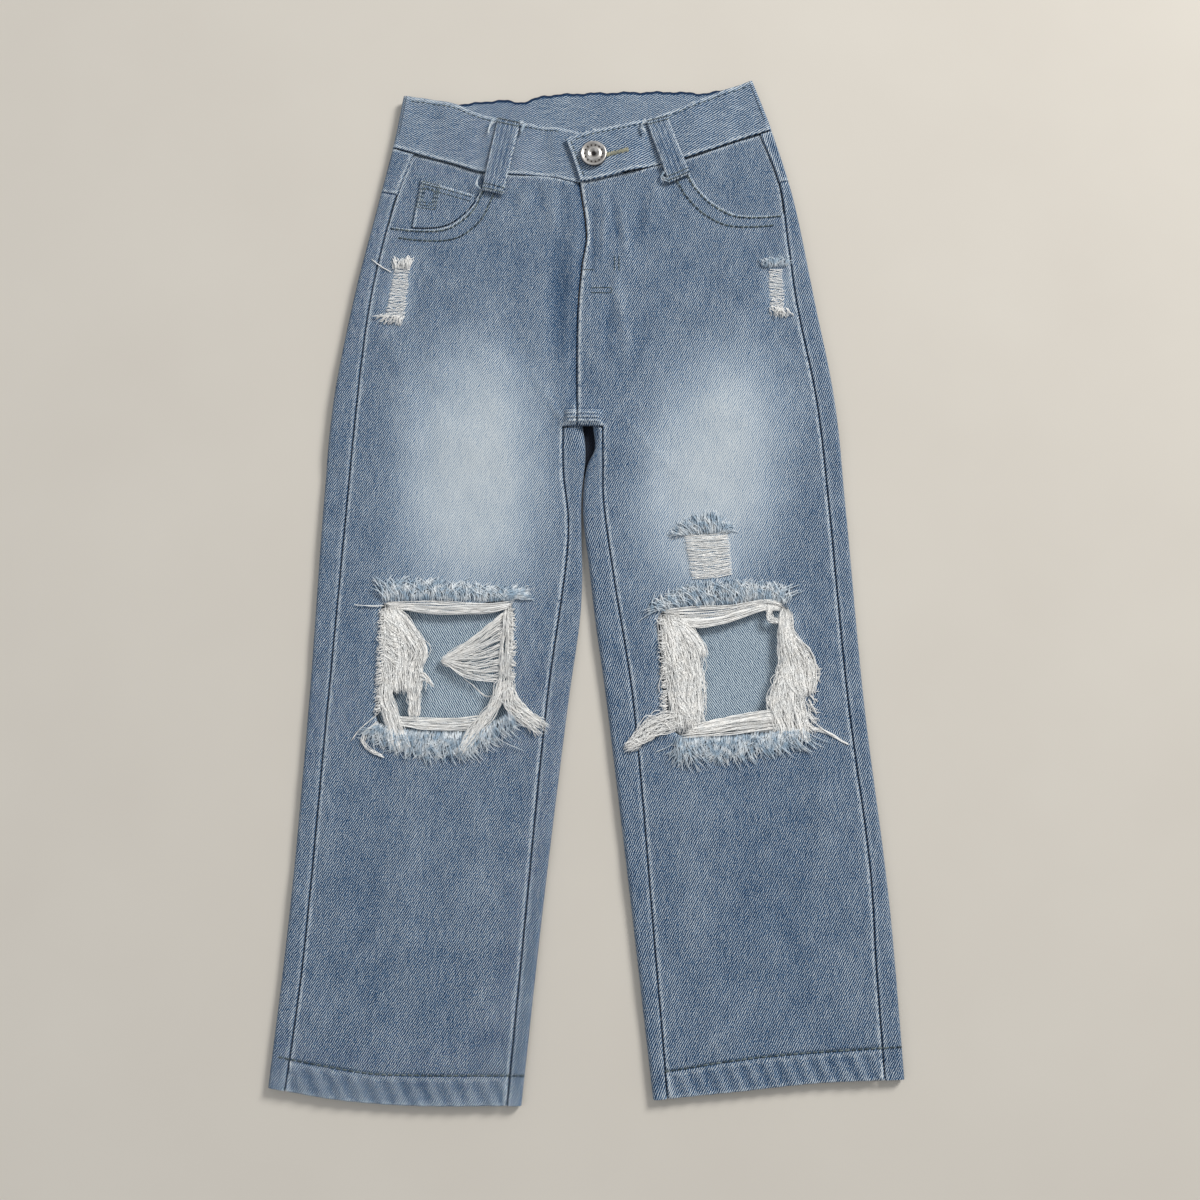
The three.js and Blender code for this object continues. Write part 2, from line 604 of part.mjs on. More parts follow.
// ---------------------------------------------------------------- frayed knees
// Plain solids of the reach of the weft threads left standing round each hole.
const KNEE_FRINGE = {
  knee_fringe_right_top: [[-116, -29.5], [-84, -34], [-50, -28.5], [-49, -33], [-84, -40], [-112, -34]],
  knee_fringe_right_side: [[-117, -36], [-110, -36], [-102, -46], [-95.5, -59], [-94.5, -70], [-97.5, -80],
    [-98, -90], [-118.5, -90], [-117.5, -60]],
  knee_fringe_right_bottom: [[-118.5, -92], [-97, -92.5], [-60, -91], [-56, -94], [-66, -101.5],
    [-100, -99.5], [-118.5, -94.5]],
  knee_fringe_left_top: [[50, -35], [74, -39.5], [108, -31], [108, -35.5], [76, -45], [51, -40]],
  knee_fringe_left_inner: [[47, -43], [60, -43], [71.5, -57.5], [66.5, -67], [68, -80], [67, -92], [48, -92],
    [45.5, -62]],
  knee_fringe_left_outer: [[113, -36], [119, -41.5], [121, -56], [121.4, -74], [120, -86], [112, -85],
    [113, -66]],
  knee_fringe_left_bottom: [[51, -96], [67, -97], [108, -89], [108, -98], [87, -101.5], [53, -99.5]],
};
for (const [name, pattern] of Object.entries(KNEE_FRINGE))
  add(name, cutPiece(pattern, topAt, oneLayer), thread);

export default jeans;
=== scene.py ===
"""A child's ripped jeans, laid flat on their back with the front up.

Lengths here are in millimetres of the garment, and build_piece() turns them into metres. +Y runs to the
waist, +X to the wearer's left, and the cloth rests on z = 0.
"""

import bpy
import numpy as np
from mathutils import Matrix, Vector


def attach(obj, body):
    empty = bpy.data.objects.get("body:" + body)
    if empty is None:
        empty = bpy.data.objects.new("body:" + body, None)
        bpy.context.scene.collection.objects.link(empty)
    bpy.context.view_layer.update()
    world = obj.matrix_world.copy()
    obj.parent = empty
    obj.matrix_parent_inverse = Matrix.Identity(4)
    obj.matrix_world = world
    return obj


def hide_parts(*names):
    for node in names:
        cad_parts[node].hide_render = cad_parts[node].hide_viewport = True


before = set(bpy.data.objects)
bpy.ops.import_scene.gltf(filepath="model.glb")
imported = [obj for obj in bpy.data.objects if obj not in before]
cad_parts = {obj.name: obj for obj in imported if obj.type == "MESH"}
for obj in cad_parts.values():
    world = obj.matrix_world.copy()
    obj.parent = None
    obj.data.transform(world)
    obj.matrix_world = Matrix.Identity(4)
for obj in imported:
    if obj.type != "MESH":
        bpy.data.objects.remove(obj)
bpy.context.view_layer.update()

# ---------------------------------------------------------------- camera, floor and light
# The jeans are seen from nearly straight above, from over the shins, leaning a little towards the waist.
MM = 0.001
CAMERA_PLACE = (7.5 * MM, -154 * MM, 761 * MM)
CAMERA_LEAN = np.radians(9.7)
camera_data = bpy.data.cameras.new("camera")
camera_data.lens = 39
camera_data.sensor_width = 36
camera_data.clip_start = 0.01
camera = bpy.data.objects.new("camera", camera_data)
camera.location = CAMERA_PLACE
camera.rotation_euler = (CAMERA_LEAN, 0, 0)
bpy.context.collection.objects.link(camera)
bpy.context.scene.camera = camera

world = bpy.data.worlds.new("studio")
world.use_nodes = True
world.node_tree.nodes["Background"].inputs["Color"].default_value = (0.97, 0.98, 1.0, 1)
world.node_tree.nodes["Background"].inputs["Strength"].default_value = 0.32
bpy.context.scene.world = world
bpy.context.scene.view_settings.view_transform = "Standard"


def add_softbox(name, place, target, size, power, colour):
    """A square area light at place, turned to target."""
    light = bpy.data.lights.new(name, "AREA")
    light.size = size
    light.energy = power
    light.color = colour
    lamp = bpy.data.objects.new(name, light)
    lamp.location = place
    lamp.rotation_euler = (Vector(target) - Vector(place)).to_track_quat("-Z", "Y").to_euler()
    bpy.context.collection.objects.link(lamp)


add_softbox("key", (1.7, 1.7, 1.65), (0, 0, 0), 0.9, 76, (1.0, 0.98, 0.95))
add_softbox("fill", (-0.9, -0.3, 1.4), (0, 0, 0), 1.4, 5, (0.95, 0.97, 1.0))


class Wire:
    """An output socket of a shader tree. Arithmetic between wires and numbers adds its Math nodes."""

    def __init__(self, tree, socket=None):
        self.tree = tree
        self.socket = socket

    def node(self, kind, settings=None, inputs=None, out=0):
        """Adds a node of this type, with its settings first and then its sockets, and gives one output."""
        made = self.tree.nodes.new("ShaderNode" + kind)
        for name, value in (settings or {}).items():
            setattr(made, name, value)
        for name, value in (inputs or {}).items():
            if isinstance(value, Wire):
                self.tree.links.new(value.socket, made.inputs[name])
            else:
                made.inputs[name].default_value = value
        return Wire(self.tree, made.outputs[out]) if made.outputs else None

    def math(self, operation, *values):
        inputs = dict(enumerate((self, *values)))
        return self.node("Math", {"operation": operation}, inputs)

    def __add__(self, other):
        return self.math("ADD", other)

    def __sub__(self, other):
        return self.math("SUBTRACT", other)

    def __rsub__(self, other):
        return (self * -1) + other

    def __mul__(self, other):
        return self.math("MULTIPLY", other)

    __radd__ = __add__
    __rmul__ = __mul__

    def ramp(self, low, high):
        """0 below low, 1 above high, and smooth between."""
        settings = {"interpolation_type": "SMOOTHSTEP"}
        return self.node("MapRange", settings, {0: self, 1: low, 2: high, 3: 0.0, 4: 1.0})

    def mix(self, first, second):
        """The first colour where this is 0, the second where it is 1."""
        return self.node("Mix", {"data_type": "RGBA"}, {0: self, 6: first, 7: second}, out=2)


def start_material(name):
    """An empty material and the wire that its nodes start from."""
    material = bpy.data.materials.new(name)
    material.use_nodes = True
    material.node_tree.nodes.clear()
    return material, Wire(material.node_tree)


def finish_material(wire, shader):
    """Ends the material in this shader."""
    wire.node("OutputMaterial", None, {"Surface": shader})


def srgb(red, green, blue):
    """A display colour of 0 to 255 as the linear colour that shaders take."""
    value = np.array([red, green, blue]) / 255
    linear = np.where(value < 0.04045, value / 12.92, ((value + 0.055) / 1.055) ** 2.4)
    return (*linear, 1.0)


def floor_material():
    """Pale matt card with the faintest mottle."""
    material, wire = start_material("floor_card")
    place = wire.node("TexCoord", out="Object")
    mottle = wire.node("TexNoise", None, {"Vector": place, "Scale": 9.0, "Detail": 3.0})
    colour = mottle.mix(srgb(211, 205, 195), srgb(219, 214, 204))
    finish_material(wire, wire.node("BsdfPrincipled", None, {"Base Color": colour, "Roughness": 0.95}))
    return material


bpy.ops.mesh.primitive_grid_add(size=6, x_subdivisions=4, y_subdivisions=4, location=(0, 0, -0.0002))
floor = bpy.context.object
floor.name = "floor"
floor.data.materials.append(floor_material())

# ---------------------------------------------------------------- front leg panels
# Each front is cut from washed twill, from the hem to the waist, with a curved pocket opening. Both knees
# are torn open. Its edges turn in at the seams, and the wash has worn them pale. The lines and the denim
# here also serve the pieces sewn to it.


def line(points):
    """A smooth line through points (at, value): cubic pieces, straight on past the ends."""
    at, value = np.array(points, float).T
    before = np.maximum(np.arange(len(at)) - 1, 0)
    after = np.minimum(np.arange(len(at)) + 1, len(at) - 1)
    slope = (value[after] - value[before]) / (at[after] - at[before])

    def evaluate(x):
        x = np.asarray(x, float)
        i = np.clip(np.searchsorted(at, x, side="right") - 1, 0, len(at) - 2)
        width = at[i + 1] - at[i]
        t = np.clip((x - at[i]) / width, 0, 1)
        inside = (
            value[i] * (1 + 2 * t) * (1 - t) ** 2
            + value[i + 1] * t**2 * (3 - 2 * t)
            + slope[i] * width * t * (1 - t) ** 2
            - slope[i + 1] * width * t**2 * (1 - t)
        )
        return inside + slope[0] * np.minimum(x - at[0], 0) + slope[-1] * np.maximum(x - at[-1], 0)

    return evaluate


def ramp(x, low, high):
    """0 below low, 1 above high, and smooth between."""
    t = np.clip((x - low) / (high - low), 0, 1)
    return t * t * (3 - 2 * t)


def bump(distance, reach):
    """1 at distance 0, falling smoothly to 0 at the reach."""
    return 1 - ramp(np.abs(distance), 0, reach)


def lerp(first, second, share):
    """From first (share 0) to second (share 1)."""
    return first + (second - first) * share


class Half:
    """The lines of one half: over y for those along the leg, over x for those across it."""

    def __init__(self, name, side, **lines):
        self.name = name
        self.side = side
        for key, points in lines.items():
            setattr(self, key, line(sorted(points)))
        self.opening_points = np.array(lines["opening"], float)
        self.stitched_points = np.array(lines["stitched"], float)


RIGHT = Half(
    "right",
    -1,
    outer_fold=[(-299, -177), (-198, -168.5), (-84, -162.4), (36, -158), (99, -154), (163, -144),
                (229, -130), (264, -122.4), (300, -116.4)],
    out_seam=[(-299, -167), (-231, -160), (-84, -151), (100, -139.5), (162, -133.5), (207, -125),
              (235, -118), (262, -109)],
    inner_fold=[(-308, -36), (-198, -24.4), (-84, -10.8), (-39, -4.6), (-12, -3), (16, -3.6), (39, -3.5),
                (64, -1.2), (82, -2.8)],
    in_seam=[(-308, -44), (-231, -37), (-84, -23.4), (-3, -12.7), (25, -11.5), (53, -14.5), (82, -14.8)],
    hem=[(-177, -299.3), (-136, -306), (-94, -308.9), (-36, -308.9)],
    stitched=[(-172, -283.3), (-159, -286), (-131, -290.8), (-113, -292.9), (-34, -293.4)],
    opening=[(-62, 247), (-67.3, 234.6), (-71.5, 224.6), (-77, 217.9), (-86.2, 211), (-96.1, 208.7),
             (-110, 208.8), (-124.2, 210.3)],
)
LEFT = Half(
    "left",
    1,
    outer_fold=[(-295, 177), (-197, 172), (-84, 161.6), (36, 154.4), (99, 149.7), (163, 139.3),
                (229, 128), (276, 115.2), (309, 104)],
    out_seam=[(-295, 165.7), (-231, 163), (-179, 161.5), (-84, 152), (86, 140), (161, 128), (198, 124),
              (240, 119.2), (272, 108.7)],
    inner_fold=[(-306, 37), (-198, 24.8), (-84, 11.2), (-39, 5), (-3, 0.8), (25, -2.5), (44, -2.3),
                (58, 0), (68, 4.4), (82, 3.2)],
    in_seam=[(-306, 45), (-231, 39), (-84, 26.7), (-12, 15.8), (35, 9.6), (59, 9.2), (82, 9)],
    hem=[(36, -306), (80, -301.8), (130, -296.8), (177, -295)],
    stitched=[(43, -291.3), (100, -283.3), (176, -278)],
    opening=[(56, 256), (63.1, 246.7), (68.3, 237.3), (78.2, 226.6), (92, 218.9), (108, 217.6),
             (121.8, 218.6)],
)
HALVES = (RIGHT, LEFT)
SEAM_GAP = 0.3
HALF_GAP = SEAM_GAP / 2
CROTCH_Y = 81
fly_edge = line([(81, -6.4), (150, -6.2), (184, -3.6), (204, -0.8), (238, -5)])
back_centre = line([(81, -0.2), (210, -4.5), (266, -6)])
waist_front = line([(-122, 262.4), (-86, 252.2), (-66, 246.2), (-22, 242.4), (-5, 238.8), (17, 243.3),
                    (64, 256.8), (95, 268), (115, 274.4)])
waist_back = line([(-122, 262.4), (-6, 266.5), (115, 274.4)])

# Heights of the layers, as the pieces lie on each other.
DENIM = 1.1
SHELL = 1.0  # wall of one drawn layer
LEG_TOP = 5
SEAT_BASE = DENIM + SEAM_GAP
SEAT_TOP = 6.1
FOLDS = (  # (x, y, half width, half length, lean, height) of each large soft fold
    (-17, 165, 11, 75, 0, -1.7),
    (-62, 110, 26, 95, -0.1, 0.5),
    (86, 100, 24, 90, 0.12, 0.5),
    (22, 150, 7, 60, -0.12, 0.5),
    (-62, -190, 22, 90, -0.08, 0.5),
    (-128, -205, 20, 80, -0.05, -0.5),
    (95, -190, 24, 90, 0.08, -0.5),
    (138, -150, 14, 80, 0.1, 0.4),
    (78, -268, 9, 34, 0.9, 0.7),
    (112, -262, 9, 34, 0.9, -0.6),
    (3, 200, 3.2, 40, 0.02, -0.9),  # short puckers beside the fly and under the waistband
    (10, 205, 3.5, 32, 0.05, 0.9),
    (16.5, 214, 3, 26, -0.1, -0.9),
    (23, 204, 4, 30, -0.05, 0.9),
    (32, 214, 5, 24, 0.1, -0.8),
    (-40, 225, 6, 18, 0.2, 0.8),
    (-30, 228, 4, 15, -0.1, -0.8),
    (-21, 220, 5, 24, 0, 0.9),
    (42, 232, 5, 17, 0.3, 0.8),
    (52, 226, 6, 21, 0.2, -0.8),
    (20, 155, 5, 40, -0.15, 0.8),
    (12, 140, 4, 34, 0.05, -0.8),
    (30, 128, 6, 40, 0.3, -0.6),
    (-22, 96, 4, 28, -0.6, 0.6),  # creases that run out from the crotch
    (-31, 72, 4.5, 30, 0.8, -0.5),
    (22, 97, 5, 30, 0.6, 0.6),
    (35, 72, 5, 32, -0.9, 0.5),
    (-40, 60, 12, 70, -0.1, -0.4),  # long shallow waves of the thighs and legs
    (42, 60, 12, 64, 0.1, 0.45),
    (-112, 118, 14, 62, -0.15, 0.5),
    (112, 148, 16, 60, 0.1, -0.5),
    (-100, -165, 18, 100, 0.05, 0.55),
    (-75, -245, 14, 50, 0.1, -0.45),
    (62, -165, 16, 100, -0.05, 0.5),
    (120, -185, 18, 90, 0.08, -0.5),
    (150, -235, 10, 60, 0.02, 0.45),
    (-148, -130, 9, 90, 0.03, 0.45),
    (-131, -60, 6, 42, 0, 0.5),  # cloth beside the torn knees
    (-36, -58, 6, 42, 0.1, 0.5),
    (141, -66, 6, 42, 0, 0.5),
)


SEAT_RISES = (45, 75)  # the heights over which the legs thicken into the seat


def base_at(y):
    """Underside of the jeans: flat under the legs, raised over what is sewn on the seat."""
    return SEAT_BASE * ramp(y, *SEAT_RISES)


def crumple(x, y):
    """The cloth's small waves: a sum of slanting sines, each faded in and out by a slower one."""
    total = 0
    for kx, ky, phase, depth in (
        (0.19, 0.05, 0.4, 0.15), (0.11, -0.09, 2.1, 0.18), (0.06, 0.12, 4.0, 0.18),
        (0.31, 0.03, 1.1, 0.09), (0.23, -0.16, 5.2, 0.09), (0.14, 0.21, 3.3, 0.08),
    ):
        fade = 0.5 + 0.5 * np.sin(0.37 * ky * x * 3 - 0.29 * kx * y * 3 + 2 * phase)
        total = total + depth * fade * np.sin(kx * x + ky * y + phase)
    return total


def folds_at(x, y):
    """Height of the large folds: each a rounded ridge, or a trough where its height is below 0."""
    total = 0
    for fold_x, fold_y, wide, long, lean, height in FOLDS:
        total = total + height * bump(x - fold_x - lean * (y - fold_y), wide) * bump(y - fold_y, long)
    return total


LIP_WIDTH = 10.5
LIP_STARTS = (-14.5, -11.5)
LIP_STOPS = (6, 9.5)
LIP_HEIGHT = 2.8
LIP_RIDGE = 0.5
LIP_RIDGES = 2.5  # radians of ridge to a millimetre


def crotch_lip(x, y):
    """The rolled seam where four layers meet: half a tube across the crotch, ridged along its length."""
    ends = ramp(x, *LIP_STARTS) * (1 - ramp(x, *LIP_STOPS))
    share = np.clip((y - CROTCH_Y) / LIP_WIDTH, 0, 1)
    tube = np.sqrt(np.clip(1 - (2 * share - 1) ** 2, 0, 1))
    return ends * tube * (LIP_HEIGHT + LIP_RIDGE * np.sin(LIP_RIDGES * y))


FLY_BULGE = 0.7
CROTCH_BULGE = 2.2


def top_at(x, y):
    """Top of the front layer: its level, the rise over the fly and crotch, and the folds."""
    seat = (SEAT_TOP - LEG_TOP) * ramp(y, *SEAT_RISES)
    fly = FLY_BULGE * bump(x - 5, 26) ** 0.5 * ramp(y, 84, 110)
    crotch = CROTCH_BULGE * bump(x + 2, 22) * bump(y - CROTCH_Y - 4, 22)
    crotch = crotch + crotch_lip(x, y)
    return LEG_TOP + seat + fly + crotch + folds_at(x, y) + crumple(x, y)


def spaced(length, step, edge=(0, 0.25, 0.6, 1.1, 1.8, 2.8, 4.2)):
    """Positions from 0 to length: close together beside both ends and even between."""
    edge = np.array(edge)
    count = int((length - 2 * edge[-1]) / step)
    middle = np.linspace(edge[-1], length - edge[-1], count + 1)[1:-1]
    return np.concatenate([edge, middle, length - edge[::-1]])


def rolled_edge(distance, depth=0.9, reach=1.3):
    """How far cloth dips at its sewn edge: a quarter circle of this reach, scaled to this depth."""
    t = np.clip(1 - distance / reach, 0, 1)
    return depth * (1 - np.sqrt(1 - t * t))


def grid_quads(rows, columns):
    """The faces of a grid, as the indices of their four corners."""
    index = np.arange(rows * columns).reshape(rows, columns)
    corners = (index[:-1, :-1], index[:-1, 1:], index[1:, 1:], index[1:, :-1])
    return np.stack([corner.ravel() for corner in corners], axis=1)


def grid_points(*planes):
    """The points of a grid, from one array for each coordinate."""
    return np.stack(planes, axis=2).reshape(-1, len(planes))


def outline_distance(points, outline):
    """Signed distance of each point (n, 2) to a closed outline (m, 2), below 0 inside, and the nearest
    point on it."""
    start, end = outline, np.roll(outline, -1, axis=0)
    edge = end - start
    to_point = points[:, None, :] - start[None]
    share = np.clip((to_point * edge).sum(2) / (edge**2).sum(1), 0, 1)
    nearest = start + share[..., None] * edge
    gap = np.linalg.norm(points[:, None, :] - nearest, axis=2)
    best = gap.argmin(1)
    rows = np.arange(len(points))
    crosses = (start[:, 1] > points[:, None, 1]) != (end[:, 1] > points[:, None, 1])
    with np.errstate(divide="ignore", invalid="ignore"):
        at_x = start[:, 0] + edge[:, 0] * (points[:, None, 1] - start[:, 1]) / edge[:, 1]
    inside = ((points[:, None, 0] < at_x) & crosses).sum(1) % 2 == 1
    return np.where(inside, -1, 1) * gap[rows, best], nearest[rows, best]


def closed_curve(points, count):
    """A smooth closed curve through the points: Catmull-Rom pieces, count points to a piece."""
    p = np.array(points, float)
    before, after, beyond = (np.roll(p, shift, axis=0)[:, None] for shift in (1, -1, -2))
    p = p[:, None]
    t = np.linspace(0, 1, count, endpoint=False)[None, :, None]
    curve = 0.5 * (
        2 * p + (after - before) * t + (2 * before - 5 * p + 4 * after - beyond) * t**2
        + (3 * p - before - 3 * after + beyond) * t**3
    )
    return curve.reshape(-1, 2)


def build_piece(name, points, quads, materials, uv=None, masks=None, shell=0.0):
    """A mesh of points in millimetres and faces of four corners, with its cloth map, its masks as point
    attributes, and a wall of the given thickness inside it."""
    used, quads = np.unique(quads, return_inverse=True)
    quads = quads.reshape(-1, 4)
    mesh = bpy.data.meshes.new(name)
    mesh.vertices.add(len(used))
    mesh.vertices.foreach_set("co", (points[used] * MM).ravel())
    mesh.loops.add(quads.size)
    mesh.loops.foreach_set("vertex_index", quads.ravel())
    mesh.polygons.add(len(quads))
    mesh.polygons.foreach_set("loop_start", np.arange(0, quads.size, 4))
    mesh.polygons.foreach_set("use_smooth", np.ones(len(quads), bool))
    mesh.update(calc_edges=True)
    if uv is not None:
        mesh.uv_layers.new(name="cloth").data.foreach_set("uv", uv[used][quads.ravel()].ravel())
    for key, values in (masks or {}).items():
        mesh.attributes.new(key, "FLOAT", "POINT").data.foreach_set("value", np.ravel(values)[used])
    piece = bpy.data.objects.new(name, mesh)
    bpy.context.collection.objects.link(piece)
    for material in materials:
        mesh.materials.append(material)
    if shell:
        wall = piece.modifiers.new("wall", "SOLIDIFY")
        wall.thickness = shell * MM
        wall.offset = -1
        wall.use_even_offset = False
        wall.material_offset = 1
        wall.material_offset_rim = 0
    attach(piece, "root")
    return piece


TWILL = (0.767, -0.470)  # ribs to a millimetre along +X and along +Y
DYE_TO_MID = (-0.5, 0.5)  # paleness over which the colour turns from dye to mid, and from mid to worn
MID_TO_WORN = (0.15, 1.0)
SHOWS = {"rib": 1.1, "slub": 0.8, "fine": 1.8, "cloud": 0.3, "speck": 0.2, "fade": 0.6, "ridge": 0.7,
         "dark_dye_and_painted_shade": 0.5}


def denim(name, dye, mid, worn, level, relief=1.0):
    """Washed twill: slanting ribs, streaky warp, white weft specks and cloudy wear, paler where the
    fade and ridge masks say, and darker in the mask of painted shade and dark dye. The ridge mask is wear on
    sewn edges, and partly painted highlight on crests. The darker mask is painted shade in seams, creases and
    hollows, and the dark dye of a bound edge. The cloth map is in millimetres."""
    material, wire = start_material(name)
    uv = wire.node("UVMap", {"uv_map": "cloth"})
    across = wire.node("SeparateXYZ", None, {0: uv}, out="X")
    along = Wire(wire.tree, across.socket.node.outputs["Y"])

    def noise(scale_x, scale_y, detail=2.0, rough=0.5):
        place = wire.node("CombineXYZ", None, {0: across * scale_x, 1: along * scale_y})
        settings = {"noise_dimensions": "2D"}
        return wire.node("TexNoise", settings, {"Vector": place, "Scale": 1.0, "Detail": detail,
                                                "Roughness": rough})

    fade = wire.node("Attribute", {"attribute_name": "fade"}, out="Fac")
    ridge = wire.node("Attribute", {"attribute_name": "ridge"}, out="Fac")
    dark_dye_and_painted_shade = wire.node("Attribute", {"attribute_name": "dark_dye_and_painted_shade"}, out="Fac")
    wander = noise(0.35, 0.35, 2.0) * 0.9
    phase = across * TWILL[0] + along * TWILL[1] + wander
    rib = (phase * (2 * np.pi)).math("SINE") * 0.5 + 0.5
    slub = noise(1.7, 0.09, 3.0, 0.65)
    fine = noise(2.4, 1.5, 2.0, 0.7)
    cloud = noise(0.07, 0.045, 3.0, 0.55)
    speck = noise(2.6, 3.9, 1.0).ramp(0.60, 0.74)
    rub = noise(0.55, 0.5, 3.0, 0.7).ramp(0.32, 0.58)
    threads = (rib - 0.5) * SHOWS["rib"] + (slub - 0.5) * SHOWS["slub"] + (fine - 0.5) * SHOWS["fine"]
    body = threads * relief + (cloud - 0.5) * SHOWS["cloud"]
    kept = 1 - fade * 0.45  # the weave shows less where the colour has gone
    pale = body * kept + speck * SHOWS["speck"] + level + fade * SHOWS["fade"]
    # Painted shade: this mask darkens seams, creases and hollows. On a bound edge it is the binding's dark
    # dye.
    pale = pale + ridge * rub * SHOWS["ridge"] - dark_dye_and_painted_shade * SHOWS["dark_dye_and_painted_shade"]
    washed = pale.ramp(*DYE_TO_MID).mix(dye, mid)
    colour = pale.ramp(*MID_TO_WORN).mix(washed, worn)
    height = rib * 0.5 + slub * 0.35 + fine * 0.3
    normal = wire.node("Bump", None, {"Strength": 0.55, "Distance": 0.00022, "Height": height})
    finish_material(wire, wire.node("BsdfPrincipled", None, {
        "Base Color": colour, "Roughness": 0.88, "Sheen Weight": 0.12, "Sheen Roughness": 0.5,
        "Specular IOR Level": 0.25, "Normal": normal}))
    return material


denim_face = denim("denim_face", srgb(9, 39, 71), srgb(65, 111, 152), srgb(213, 220, 223), 0.035, 1.2)
denim_inside = denim("denim_wrong_side", srgb(34, 66, 96), srgb(122, 152, 176), srgb(206, 220, 228), 0.24,
                     2.6)

TORN_KNEE = {
    "right": [(-120, -27), (-84, -32), (-47, -26), (-45.5, -60), (-46.5, -92), (-58, -104), (-100, -102),
              (-122, -96), (-119, -60)],
    "left": [(44, -32), (74, -37), (112, -28), (121, -40), (123.5, -72), (122, -100), (86, -104),
             (50, -102), (43, -62)],
}
FADES = (  # (x, y, half width, half length, lean, strength)
    (-69, 52, 68, 122, 0.02, 2.1),
    (-68, 36, 52, 72, 0.0, 0.4),
    (76, 56, 66, 112, 0.16, 2.0),
    (73, 36, 50, 62, 0.0, 0.4),
    (-116, 168, 15, 30, 0.1, 0.9),
    (116, 168, 14, 30, 0.0, 0.9),
    (0, -306, 260, 9, 0, 0.3),
    (71, 3, 24, 26, 0, 0.9),
)
MOST_FADE = 1.22


def fade_at(x, y):
    """Where the wash has worn the front white, levelling off at its palest."""
    total = 0
    for fade_x, fade_y, wide, long, lean, strength in FADES:
        total = total + strength * bump(x - fade_x - lean * (y - fade_y), wide) * bump(y - fade_y, long)
    return MOST_FADE * np.tanh(total / MOST_FADE)


RIDGE_RISES = (0.3, 0.9)  # distances from a sewn edge, for its pale worn ridge and the painted shade in its groove
RIDGE_FALLS = (1.3, 2.8)
PAINTED_SEAM_SHADE_ENDS = (0.05, 0.6)


def panel_masks(fade, distance):
    """The masks that denim reads: a pale worn ridge just inside a sewn edge, and painted shade in the
    groove at it.
    """
    ridge = ramp(distance, *RIDGE_RISES) * (1 - ramp(distance, *RIDGE_FALLS))
    return {"fade": fade, "ridge": ridge, "dark_dye_and_painted_shade": 1 - ramp(distance, *PAINTED_SEAM_SHADE_ENDS)}


FRONT_FOOT = -300
FRONT_HEAD = 240
GRAIN_LEAN = 0.05  # each leg leans out from the middle by this much
HEM_JOIN = -59  # where the hem's turned-up layers overlap
CLOTH_STEP = 2.0  # grid step of the large panels
LEG_WIDTH = 140
FLY_COLUMNS = 15
CROTCH_ROWS = CROTCH_Y + np.concatenate([[-1.2, -0.6, 0, 0.3], np.linspace(0.7, 12, 17)])
HEM_ROWS = FRONT_FOOT + np.linspace(10, 19, 13)
FOOT_BEND = 60  # rows bend to the hem over this height, and to the head above HEAD_BEND
HEAD_BEND = 110
SETTLED = 8  # rounds in which rows that follow slanting lines come to rest
FAR = 99  # farther from a seam than it shows
FLY_RUN = (92, 100)  # the heights over which the fly's overlap begins
SNAP = 1.2  # points this near to the torn edge move onto it
# Strengths of the pale marks. At the hem and on its ropes they are wear; on the crests of creases and of the
# crotch lip they are wear and partly painted highlight.
RUBBED_AND_LIT = {"crease": 0.3, "lip": 0.45, "hem": 0.7, "hem row": 0.5, "rope": 0.3}
# Strengths of painted shade: in creases' troughs, round the crotch lip, beside the fly edge, at the hem's
# step and between its ropes.
PAINTED_SHADE = {"crease": 0.32, "lip": 0.6, "tuck": 0.7, "hem row": 0.55, "rope": 0.3}


def head_line(half, x):
    """The front's upper edge: the pocket opening beyond its mouth, and the waist seam inside it."""
    beyond = (x - half.opening_points[0, 0]) * half.side > 0
    return np.where(beyond, half.opening(x), waist_front(x))


def front_grid(half):
    """x, y, level and share of the front's grid. Levels run from the hem to the head, and shares from the
    side seam (0) over the inseam (1) to the fly edge (2). Rows bend from straight to the hem and head."""
    level = FRONT_FOOT + spaced(FRONT_HEAD - FRONT_FOOT, CLOTH_STEP)
    level = np.sort(np.concatenate([level, CROTCH_ROWS, HEM_ROWS]))
    leg_share = spaced(LEG_WIDTH, CLOTH_STEP) / LEG_WIDTH
    share = np.concatenate([leg_share, 1 + np.linspace(0, 1, FLY_COLUMNS)[1:]])
    level, share = np.meshgrid(level, share, indexing="ij")
    foot_share = 1 - ramp(level, FRONT_FOOT, FRONT_FOOT + FOOT_BEND)
    head_share = ramp(level, HEAD_BEND, FRONT_HEAD)
    y = level
    for _ in range(SETTLED):
        outer = half.out_seam(y) - half.side * HALF_GAP
        inner = half.in_seam(np.minimum(y, CROTCH_Y)) + half.side * HALF_GAP
        fly = fly_edge(y) + half.side * HALF_GAP
        x = np.where(share <= 1, lerp(outer, inner, share), lerp(inner, fly, share - 1))
        rise = (half.hem(x) - FRONT_FOOT) * foot_share + (head_line(half, x) - FRONT_HEAD) * head_share
        y = level + rise
    return x, y, level, share


def front_seams(half, x, y, level):
    """Distances of a front's points to the nearest sewn edge, and to the crotch seam alone."""
    outer = half.out_seam(y) - half.side * HALF_GAP
    inner = half.in_seam(np.minimum(y, CROTCH_Y)) + half.side * HALF_GAP
    fly = fly_edge(y) + half.side * HALF_GAP
    inner_edge = np.abs(x - np.where(level < CROTCH_Y, inner, fly))
    beyond_leg = np.maximum(0, half.side * (x - inner))
    crotch_edge = np.where(level < CROTCH_Y, FAR, np.hypot(y - CROTCH_Y, beyond_leg))
    slope = (head_line(half, x + 0.2) - head_line(half, x - 0.2)) / 0.4
    head_edge = (head_line(half, x) - y) / np.sqrt(1 + slope**2)
    beyond_mouth = (x - half.opening_points[0, 0]) * half.side > 0
    mouth_or_waist = np.where(beyond_mouth, head_edge, head_edge + 0.5)
    return np.minimum.reduce([np.abs(x - outer), inner_edge, mouth_or_waist, crotch_edge]), crotch_edge


